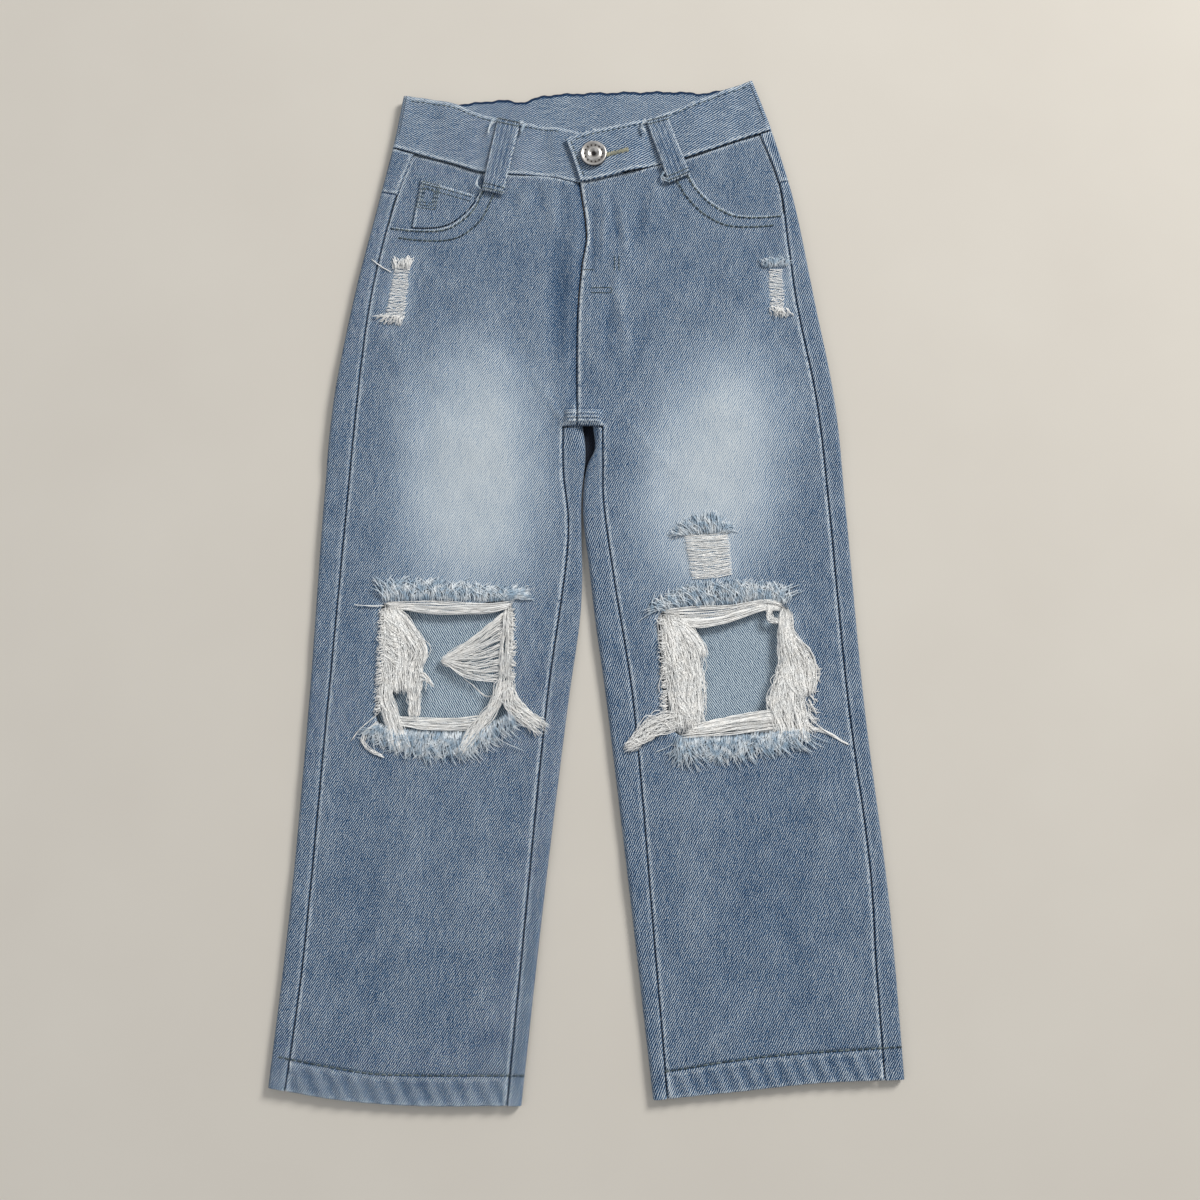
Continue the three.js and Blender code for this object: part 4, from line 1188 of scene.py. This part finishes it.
stud_turn = np.linspace(0, 2 * np.pi, STUDS, endpoint=False)
studs = np.stack([BUTTON[0] + STUD_RING * np.cos(stud_turn), BUTTON[1] + STUD_RING * np.sin(stud_turn),
                  CAP_BASE + 1.6 + 0 * stud_turn], axis=1)
round_studs("button_studs", studs, STUD_RADIUS, STUD_HEIGHT, stud_metal)

# ---------------------------------------------------------------- stitching
# Lockstitch in thread a little greener than the cloth. Each stitch is a short rounded bar that dips into
# the cloth at both ends.


def thread_material(name, colour, dark):
    """Matt cotton, mottled between two shades."""
    material, wire = start_material(name)
    place = wire.node("TexCoord", out="Object")
    tone = wire.node("TexNoise", None, {"Vector": place, "Scale": 260.0, "Detail": 2.0}).ramp(0.3, 0.7)
    finish_material(wire, wire.node("BsdfPrincipled", None, {
        "Base Color": tone.mix(dark, colour), "Roughness": 0.8, "Specular IOR Level": 0.2}))
    return material


sewing_thread = thread_material("sewing_thread", srgb(118, 130, 130), srgb(54, 68, 78))
buttonhole_thread = thread_material("buttonhole_thread", srgb(188, 186, 160), srgb(140, 142, 130))
white_thread = thread_material("weft_thread", srgb(255, 254, 251), srgb(249, 250, 249))
warp_thread = thread_material("warp_thread", srgb(238, 244, 248), srgb(168, 190, 208))


def smooth_path(points, count):
    """Points evenly spaced along a smooth curve through the given ones."""
    p = np.array(points, float)
    p = np.vstack([2 * p[0] - p[1], p, 2 * p[-1] - p[-2]])
    a, b, c, d = (p[i : len(p) - 3 + i, None] for i in range(4))
    t = np.linspace(0, 1, 16, endpoint=False)[None, :, None]
    curve = 0.5 * (2 * b + (c - a) * t + (2 * a - 5 * b + 4 * c - d) * t**2 + (3 * b - a - 3 * c + d) * t**3)
    curve = np.vstack([curve.reshape(-1, p.shape[1]), p[-2]])
    gone = np.concatenate([[0], np.cumsum(np.linalg.norm(np.diff(curve, axis=0), axis=1))])
    at = np.linspace(0, gone[-1], count)
    return np.stack([np.interp(at, gone, curve[:, k]) for k in range(p.shape[1])], axis=1)


def path_length(points):
    """The sum of the straight steps between the points."""
    return np.linalg.norm(np.diff(np.array(points, float), axis=0), axis=1).sum()


def tubes(name, paths, radius, material, sides=3):
    """Thin tubes along many paths at once (count, points, 3), each closing to a tip at both ends."""
    count, length = paths.shape[:2]
    ahead = np.gradient(paths, axis=1)
    ahead /= np.linalg.norm(ahead, axis=2, keepdims=True) + 1e-9
    aside = np.cross(ahead, [0.02, 0.03, 1.0])
    aside /= np.linalg.norm(aside, axis=2, keepdims=True) + 1e-9
    above = np.cross(aside, ahead)
    turn = np.linspace(0, 2 * np.pi, sides, endpoint=False)[:, None]
    taper = np.ones(length)
    taper[[0, -1]] = 0.05
    ring = np.cos(turn) * aside[:, :, None] + np.sin(turn) * above[:, :, None]
    points = paths[:, :, None] + radius * taper[:, None, None] * ring
    index = np.arange(count * length * sides).reshape(count, length, sides)
    around = np.roll(index, -1, axis=2)
    corners = (index[:, :-1], around[:, :-1], around[:, 1:], index[:, 1:])
    quads = np.stack([corner.ravel() for corner in corners], axis=1)
    piece = build_piece(name, points.reshape(-1, 3), quads, [material])
    return piece


def stitch_paths(points, height, pitch=3.3, length=2.5):
    """Paths of the stitches of one row: short bars along a line, dipping at their ends."""
    count = max(2, int(path_length(points) / pitch))
    line_points = smooth_path(points, count * 2 + 1)
    middle = line_points[1::2]
    ahead = line_points[2::2] - line_points[:-2:2]
    ahead /= np.linalg.norm(ahead, axis=1, keepdims=True)
    along = np.array([-1, -0.85, 0, 0.85, 1])
    xy = middle[:, None] + along[:, None] * length / 2 * ahead[:, None]
    z = height(xy[..., 0], xy[..., 1]) + 0.12 - 0.3 * along**4
    return np.concatenate([xy, z[..., None]], axis=2)


def over_line(edge, start, end, drop, step=8):
    """Points of a line over x, moved down by drop."""
    x = np.linspace(start, end, max(2, int(abs(end - start) / step)))
    return np.stack([x, edge(x) - drop], axis=1)


def loop_top_at(x, y):
    """Top of a front belt loop."""
    over = np.where(x < 0, band_top_at(x, y), overlap_top_at(x, y))
    return over + SEAM_GAP + 1.9


BOLD_RADIUS = 0.5
FINE_RADIUS = 0.3
OPENING_ROWS = (2.2, 9.0)  # distances of the two rows from the pocket opening
opening_rows = []
for half in HALVES:
    for offset in OPENING_ROWS:
        inward = half.opening_points + np.array([-half.side * offset * 0.75, -offset * 0.9])
        opening_rows.append(stitch_paths(inward, top_at, 3.0, 2.5))
for half in HALVES:
    x = np.linspace(half.stitched_points[0, 0], half.stitched_points[-1, 0], 12)
    opening_rows.append(stitch_paths(np.stack([x, half.stitched(x) + 0.8], axis=1), top_at, 3.6, 2.8))
tubes("pocket_stitches", np.concatenate(opening_rows) + [0, 0, 0.2], BOLD_RADIUS, sewing_thread,
      sides=5)

BAND_ROW = 3.2  # the band's row of stitches runs this far below its top
rows = [
    stitch_paths(over_line(band_top_front, -112, -18, BAND_ROW), band_top_at),
    stitch_paths(over_line(overlap_top, -8, 100, BAND_ROW), overlap_top_at),
    stitch_paths([(-2.4, 242), (-10.8, 266)], overlap_top_at),
]
for tack in ([(19.2, 180.6), (19.2, 189.8)], [(16.4, 180.6), (16.4, 189.8)], [(-2.4, 181.3), (3.8, 181.3)],
             [(2, 166.2), (13.4, 166.2), (14.4, 167.8), (13.4, 169.4), (2, 169.4)]):
    rows.append(stitch_paths(tack, top_at, 1.2, 1.5))


def coin_top_at(x, y):
    """Just over the coin pocket."""
    return top_at(x, y) + 0.3


square = np.array([(-103, 240), (-106.2, 222.6), (-94.8, 221), (-92.2, 236.6), (-103, 240)])
for inset in (0.0, 0.22, 0.44):
    ring = lerp(square, square[:-1].mean(axis=0), inset)
    for first, second in zip(ring[:-1], ring[1:]):
        rows.append(stitch_paths([first, second], coin_top_at, 2.2, 1.8))
for row in ([(-103, 238.2), (-72, 229.4)], [(-103, 235.2), (-73, 226.6)]):
    rows.append(stitch_paths(row, coin_top_at, 2.6, 2.1))
for corners in FRONT_LOOPS.values():
    low_left, low_right, high_right, high_left = np.array(corners)
    for share in (0.03, 0.09, 0.93, 0.98):
        tack = [lerp(low_left, high_left, share), lerp(low_right, high_right, share)]
        rows.append(stitch_paths(tack, loop_top_at, 1.6, 1.5))
tubes("seam_stitches", np.concatenate(rows), FINE_RADIUS, sewing_thread, sides=5)

# The buttonhole is whipped round with bars across its slit, each with its own lean.
SLIT_BARS = 26
BAR_HALF = 1.7
BAR_RADIUS = 0.34
middle = lerp(np.array(SLIT[0]), np.array(SLIT[1]), np.linspace(0, 1, SLIT_BARS)[:, None])
offset = np.linspace(-BAR_HALF, BAR_HALF, 5)
lean = np.random.default_rng(4).uniform(-0.35, 0.35, (SLIT_BARS, 1))
bars_x = middle[:, :1] - offset * 0.25 + lean * offset
bars_y = middle[:, 1:] + offset
bars_z = overlap_top_at(bars_x, bars_y) + 0.35 - 0.1 * offset**2
bars = np.stack([bars_x, bars_y, bars_z], axis=2)
tubes("buttonhole_thread", bars, BAR_RADIUS, buttonhole_thread, sides=4)

# ---------------------------------------------------------------- torn knees
# The warp has worn through and the white weft hangs on: in taut bundles along the top and bottom of each
# hole, in slack masses and tassels at its sides, with short blue warp ends above and below.
random = np.random.default_rng(17)
WEFT_RADIUS = 0.26
WARP_RADIUS = 0.28


def wander(count, length, size):
    """Smooth random offsets along each thread: three sines of random phase and share."""
    t = np.linspace(0, 1, length)
    turns = random.uniform(0.5, 1.5, (count, 3, 1)) * np.array([1, 2.2, 4.2])[:, None]
    phase = random.uniform(0, 2 * np.pi, (count, 3, 1))
    share = random.normal(0, 1, (count, 3, 1)) * np.array([1, 0.6, 0.3])[:, None]
    return size * (share * np.sin(2 * np.pi * turns * t + phase)).sum(1)


def bundle(first, second, count, spread=0.7, lift=(0.2, 1.3), ragged=0.04, length=20, even=False):
    """Threads between two guide lines, each at its own share of the way, by chance or evenly, and with its
    own start and end."""
    fine = length * 4
    a, b = smooth_path(first, fine), smooth_path(second, fine)
    start = random.uniform(0, ragged, count)[:, None]
    end = 1 - random.uniform(0, ragged, count)[:, None]
    at = start + (end - start) * np.linspace(0, 1, length)
    share = np.linspace(0, 1, count)[:, None] if even else random.uniform(0, 1, (count, 1))
    steps = np.linspace(0, 1, fine)
    path = [
        lerp(np.interp(at, steps, a[:, k]), np.interp(at, steps, b[:, k]), share)
        + wander(count, length, spread)
        for k in range(2)
    ]
    height = top_at(*path) + random.uniform(*lift, (count, 1)) + np.abs(wander(count, length, 0.25))
    return np.stack([*path, height], axis=2)


def fringe(low, high, count, curl=1.2, lift=(0.1, 1.2), length=9, fill=(0.55, 1.0)):
    """Short ends that start on the low line and reach for the high one, each with a bend of its own."""
    a, b = smooth_path(low, 200), smooth_path(high, 200)
    at = random.integers(0, 200, count)
    foot = a[at] + random.normal(0, 0.5, (count, 2))
    reach = (b[at] - a[at]) * random.uniform(*fill, (count, 1))
    t = np.linspace(0, 1, length)[None, :, None]
    bend = random.normal(0, curl, (count, 1, 1))
    size = np.linalg.norm(reach, axis=1)[:, None, None]
    across = np.stack([-reach[:, 1], reach[:, 0]], axis=1)[:, None] / (size + 1e-6)
    path = foot[:, None] + reach[:, None] * t + across * bend * 2.2 * t**2
    path = path + across * wander(count, length, 0.6)[..., None] * t
    height = top_at(path[..., 0], path[..., 1]) + random.uniform(*lift, (count, 1))
    height = height + random.uniform(0, 1.4, (count, 1)) * np.sin(np.pi * t[..., 0])
    return np.concatenate([path, height[..., None]], axis=2)


def resampled(groups, length=20):
    """Groups of paths with different counts of points, joined with the same count."""
    joined = []
    for group in groups:
        at = np.linspace(0, group.shape[1] - 1, length)
        low = np.clip(at.astype(int), 0, group.shape[1] - 2)
        part = (at - low)[None, :, None]
        joined.append(group[:, low] * (1 - part) + group[:, low + 1] * part)
    return np.concatenate(joined)


right_weft = [
    bundle([(-121, -26), (-86.8, -25.4), (-61.2, -27.1), (-42, -25.4)],
           [(-119, -29), (-93.3, -33.2), (-75.1, -33.8), (-57, -32.4), (-44, -28.6)], 34, 0.35, (-0.6, 0.5)),
    bundle([(-119, -28.8), (-119.5, -51.3), (-119.6, -66), (-118.5, -80)],
           [(-112.3, -28.8), (-103.8, -40.5), (-94.4, -54.6), (-95.9, -64), (-97, -80)],
           210, 1.3, (-1.2, 1.2)),
    bundle([(-113, -29), (-103, -38.5), (-93.6, -53), (-94.6, -63)],
           [(-112.6, -30), (-104.6, -41), (-95.4, -54.6), (-97, -64)], 22, 0.4, (0, 1.6)),
    bundle([(-121, -74), (-120.5, -84), (-118, -92), (-113.4, -113.5)],
           [(-114, -70), (-113.5, -82), (-110, -92), (-101.5, -113)], 70, 0.7, (0, 1.7), 0.07),
    bundle([(-106, -72), (-104, -84), (-103.5, -94)], [(-97.5, -74), (-96.8, -86), (-97.2, -94)], 55, 0.5,
           (-1.0, 0.8)),
    bundle([(-100, -64), (-94, -69), (-89.5, -75.4)], [(-98, -72), (-94, -73), (-89.5, -75.6)], 14, 0.4),
    bundle([(-121, -92), (-104, -94), (-80.5, -94.4), (-56.1, -91.5)],
           [(-118, -97), (-104.8, -99.8), (-88.5, -102.2), (-64.1, -101.6)], 44, 0.35, (-0.6, 0.9)),
    bundle([(-44.6, -28), (-44, -50), (-44.6, -71.9)], [(-48.6, -30), (-50.4, -50), (-51.6, -71.9)], 46, 0.5,
           (-0.8, 0.9)),
    bundle([(-48, -31), (-66, -46.5), (-85.6, -60.6)],
           [(-50.5, -74.6), (-68, -72), (-85.4, -61.2)], 84, 0.55, (-1.6, 0.2), 0.02),
    bundle([(-47.4, -31), (-66, -46), (-85.6, -60.6)], [(-50, -36), (-67, -50), (-85.2, -61)], 30, 0.35,
           (-1.0, 0.6), 0.02),
    bundle([(-45.4, -70), (-52.4, -89.1), (-64.1, -105.3), (-72.4, -117.2)],
           [(-51.6, -70), (-57.6, -88), (-68.5, -102), (-76.8, -114.8)], 54, 1.0, (0.2, 2.2), 0.14),
    bundle([(-45, -69), (-39.9, -84), (-32.5, -91), (-20.4, -99)],
           [(-50, -70), (-46.6, -88), (-38.5, -97.5), (-27.5, -105)], 56, 1.1, (0.3, 2.4), 0.18),
    fringe([(-119.6, -30), (-119.8, -92)], [(-123.2, -31), (-124.2, -94)], 130, 0.3),
    fringe([(-45.4, -30), (-45, -72)], [(-42.2, -30), (-41.6, -73)], 90, 0.3),
    fringe([(-119, -34), (-118, -60)], [(-108, -43), (-106, -68)], 60, 0.9),
    bundle([(-122, -92), (-131.6, -100.4), (-137.5, -108)],
           [(-122, -92.5), (-131.5, -100.9), (-137, -108.2)], 3, 0.1, (0.3, 0.6)),
    bundle([(-119, -28), (-128, -28.4), (-137.6, -27.8)],
           [(-119, -28.6), (-128, -28.8), (-137, -28)], 2, 0.1),
    bundle([(-122, -96), (-130, -104), (-129, -111), (-117, -118.4)],
           [(-119, -97), (-126, -104), (-126, -110), (-116, -116)], 7, 0.7),
    bundle([(-73.6, -70), (-67, -75.2), (-59.5, -81.7), (-53, -80.1), (-51.3, -72)],
           [(-72.6, -70.4), (-66.6, -75), (-59.4, -81), (-53.6, -79.4), (-51.8, -72)], 3, 0.2, (-2.0, -1.2)),
]
weft = tubes("knee_weft_right", resampled(right_weft), WEFT_RADIUS, white_thread)
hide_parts("knee_fringe_right_top", "knee_fringe_right_side", "knee_fringe_right_bottom")
right_warp = [
    fringe([(-120.5, -25.5), (-90, -25), (-65, -25.6), (-43.4, -25.4)],
           [(-121.6, -9.7), (-107, -10.6), (-90.4, -10), (-73.8, -12.2), (-57.2, -14.6), (-43, -15.4)],
           430, 2.9),
    fringe([(-52, -22), (-44, -24)], [(-38, -18.5), (-32, -21.6)], 60, 0.8, fill=(0.7, 1.1)),
    fringe([(-122, -97), (-102.2, -101), (-80.3, -102), (-64.1, -101), (-47, -92)],
           [(-130, -108.5), (-116.5, -115), (-101.8, -120.4), (-80, -120.4), (-67.1, -118.8), (-55.8, -114),
            (-45, -107)], 470, 2.9),
    fringe([(-46, -88), (-45, -94)], [(-42, -98), (-41, -104)], 40, 1.2),
]
tubes("knee_warp_right", resampled(right_warp, 9), WARP_RADIUS, warp_thread)

left_weft = [
    bundle([(42.8, -31.4), (59.6, -29.4), (81.7, -28.2), (103.8, -24.5), (116, -27)],
           [(45, -36), (62.6, -41.2), (80.5, -38.9), (103.7, -30.9), (115, -31.4)], 60, 0.4, (-0.6, 0.9)),
    bundle([(43.4, -32.5), (44.4, -45), (46.7, -66), (48, -88), (50, -104)],
           [(54, -36), (60.5, -46), (66, -62), (67.6, -80), (66.6, -99)], 190, 1.7, (-1.2, 1.4)),
    bundle([(46, -60), (52, -70), (54, -84), (60, -100)],
           [(64, -58), (66, -72), (62, -84), (66, -101)], 60, 1.6, (0.2, 1.9), 0.2),
    bundle([(50, -34), (60, -39.5), (68, -50), (71.6, -60)],
           [(48, -38), (56, -44), (63, -52), (66, -59.6)], 34, 0.5, (0.0, 1.8), 0.1),
    bundle([(50, -89), (35, -94.6), (27.4, -104), (20.4, -112.9)],
           [(54, -100), (40.1, -105.7), (30, -111), (22.6, -113.6)], 62, 1.2, (0.3, 2.6), 0.16),
    bundle([(114.2, -29), (112.6, -42), (112.4, -56), (116, -74), (124, -84)],
           [(119, -31), (121, -43), (130, -54), (134.4, -67), (131, -80)], 140, 1.1, (0, 2.0)),
    bundle([(114, -60), (110, -74), (106, -86), (110.6, -106)],
           [(124, -62), (124, -80), (127.6, -94), (128.6, -109)], 150, 1.4, (-0.6, 1.6), 0.1),
    bundle([(104.6, -82), (106, -87.5), (112, -91)],
           [(112, -73), (114, -80), (118, -88)], 30, 0.5, (-0.8, 0.8)),
    bundle([(60, -99), (85.8, -92.8), (112, -89.2)], [(52, -106.4), (75.3, -104.6), (113, -100.6)], 84, 0.4,
           (-0.6, 1.0)),
    bundle([(122, -97), (137, -101), (151.8, -109.8)], [(122, -100.5), (137, -103), (151.4, -110)], 7, 0.25,
           (0.2, 0.7)),
    bundle([(128, -93), (137.3, -101.2), (144, -105)], [(127, -95), (136, -102), (143, -105)], 3, 0.15),
    bundle([(49.8, -66.3), (43.5, -69.4), (41.4, -75.7), (42.4, -80)],
           [(49.8, -67), (44, -70), (42, -75.7), (42.8, -79.6)], 3, 0.15),
    fringe([(45, -36), (47, -90)], [(41.6, -37), (42.6, -92)], 110, 0.6),
    fringe([(131, -60), (128, -100)], [(136.4, -64), (133, -106)], 46, 0.8),
    bundle([(104, -27), (106, -36), (113, -40)], [(112, -28), (108, -33), (113.6, -38)], 14, 0.8),
    bundle([(56.5, 14.4), (70, 14.6), (84.6, 15.4)],
           [(61, -12), (74, -11.6), (86.4, -9)], 46, 0.3, (0.0, 0.7), 0.03, even=True),
]
weft = tubes("knee_weft_left", resampled(left_weft), WEFT_RADIUS, white_thread)
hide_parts("knee_fringe_left_top", "knee_fringe_left_inner", "knee_fringe_left_outer",
            "knee_fringe_left_bottom")
left_warp = [
    fringe([(40, -31.8), (60.7, -28.6), (81.7, -28), (102.8, -25), (118.5, -28)],
           [(35, -29), (40.7, -22.4), (52.4, -16.8), (66.1, -11.4), (87.2, -11.4), (103, -12.6),
            (113.5, -12.6), (121, -17)],
           470, 2.9),
    fringe([(51, -105), (75.2, -105), (110.5, -101.6), (126, -99.5)],
           [(48, -123), (56.5, -125), (64.8, -117), (74, -123.2), (85.3, -121), (95.7, -118), (111.2, -117),
            (126, -112.6)], 470, 2.9),
    fringe([(56, 14.4), (66.5, 14.8), (84.5, 15.9)],
           [(46.3, 14.6), (56, 25), (66.6, 28.6), (77.3, 29.6), (83.6, 23), (86.6, 18)], 200, 1.3),
]
tubes("knee_warp_left", resampled(left_warp, 9), WARP_RADIUS, warp_thread)

# ---------------------------------------------------------------- worn patches at the hips
# Below each front pocket the surface is rubbed through to the white weft, with a few loose ends.
hip_weft = [
    bundle([(-119.8, 184), (-114, 184.4), (-109, 184)], [(-124.6, 150), (-117, 150), (-111, 151)], 40, 0.3,
           (0.0, 0.6), 0.1, even=True),
    fringe([(-120, 182), (-109, 182)], [(-121.5, 190), (-107.5, 190)], 36, 0.7),
    fringe([(-125, 152), (-111, 151)], [(-131, 147), (-112, 144)], 34, 0.6),
    bundle([(-120.8, 180), (-128, 184), (-133.5, 188.6)],
           [(-120.8, 179.4), (-128, 183.6), (-133.4, 188.2)], 3, 0.1),
    bundle([(110.6, 181), (115, 181.4), (120, 181)], [(111.6, 157), (116, 156.4), (121, 157)], 30, 0.3,
           (0.0, 0.6), 0.1, even=True),
    fringe([(111, 158), (122, 156)], [(113, 151), (125, 149)], 30, 0.7),
]
tubes("hip_weft", resampled(hip_weft), WEFT_RADIUS, white_thread)
hip_warp = [fringe([(108, 183), (122, 183)], [(107, 189), (125.4, 190)], 60, 1.2)]
tubes("hip_warp", resampled(hip_warp, 9), WEFT_RADIUS, warp_thread)

# ---------------------------------------------------------------- loose ends at the belt loops
# The loops' cut ends fray into a few pale threads on top of the band.
LOOP_END_RADIUS = 0.24
loop_ends = [
    bundle([(-42.6, 279), (-40.4, 277), (-41.6, 272)], [(-43, 278), (-39.6, 275), (-42.4, 270)], 7, 0.5,
           (2.2, 3.4)),
    bundle([(-58, 281), (-61, 278), (-62, 272)], [(-57, 279), (-60, 277), (-62.6, 270)], 5, 0.5, (2.0, 3.0)),
    bundle([(-67, 234), (-69, 238), (-67, 243)], [(-66, 233), (-69.6, 236), (-68, 242)], 5, 0.4, (2.0, 3.0)),
    bundle([(36.3, 279.5), (34, 276), (35.6, 271)],
           [(37, 278.6), (33.4, 275), (36.4, 269)], 8, 0.5, (3.2, 4.4)),
    bundle([(50.2, 238), (47, 241), (46.4, 246)],
           [(50.6, 239), (46, 240.6), (47.4, 245)], 7, 0.5, (2.0, 3.2)),
]
tubes("loop_loose_ends", resampled(loop_ends, 12), LOOP_END_RADIUS, warp_thread)
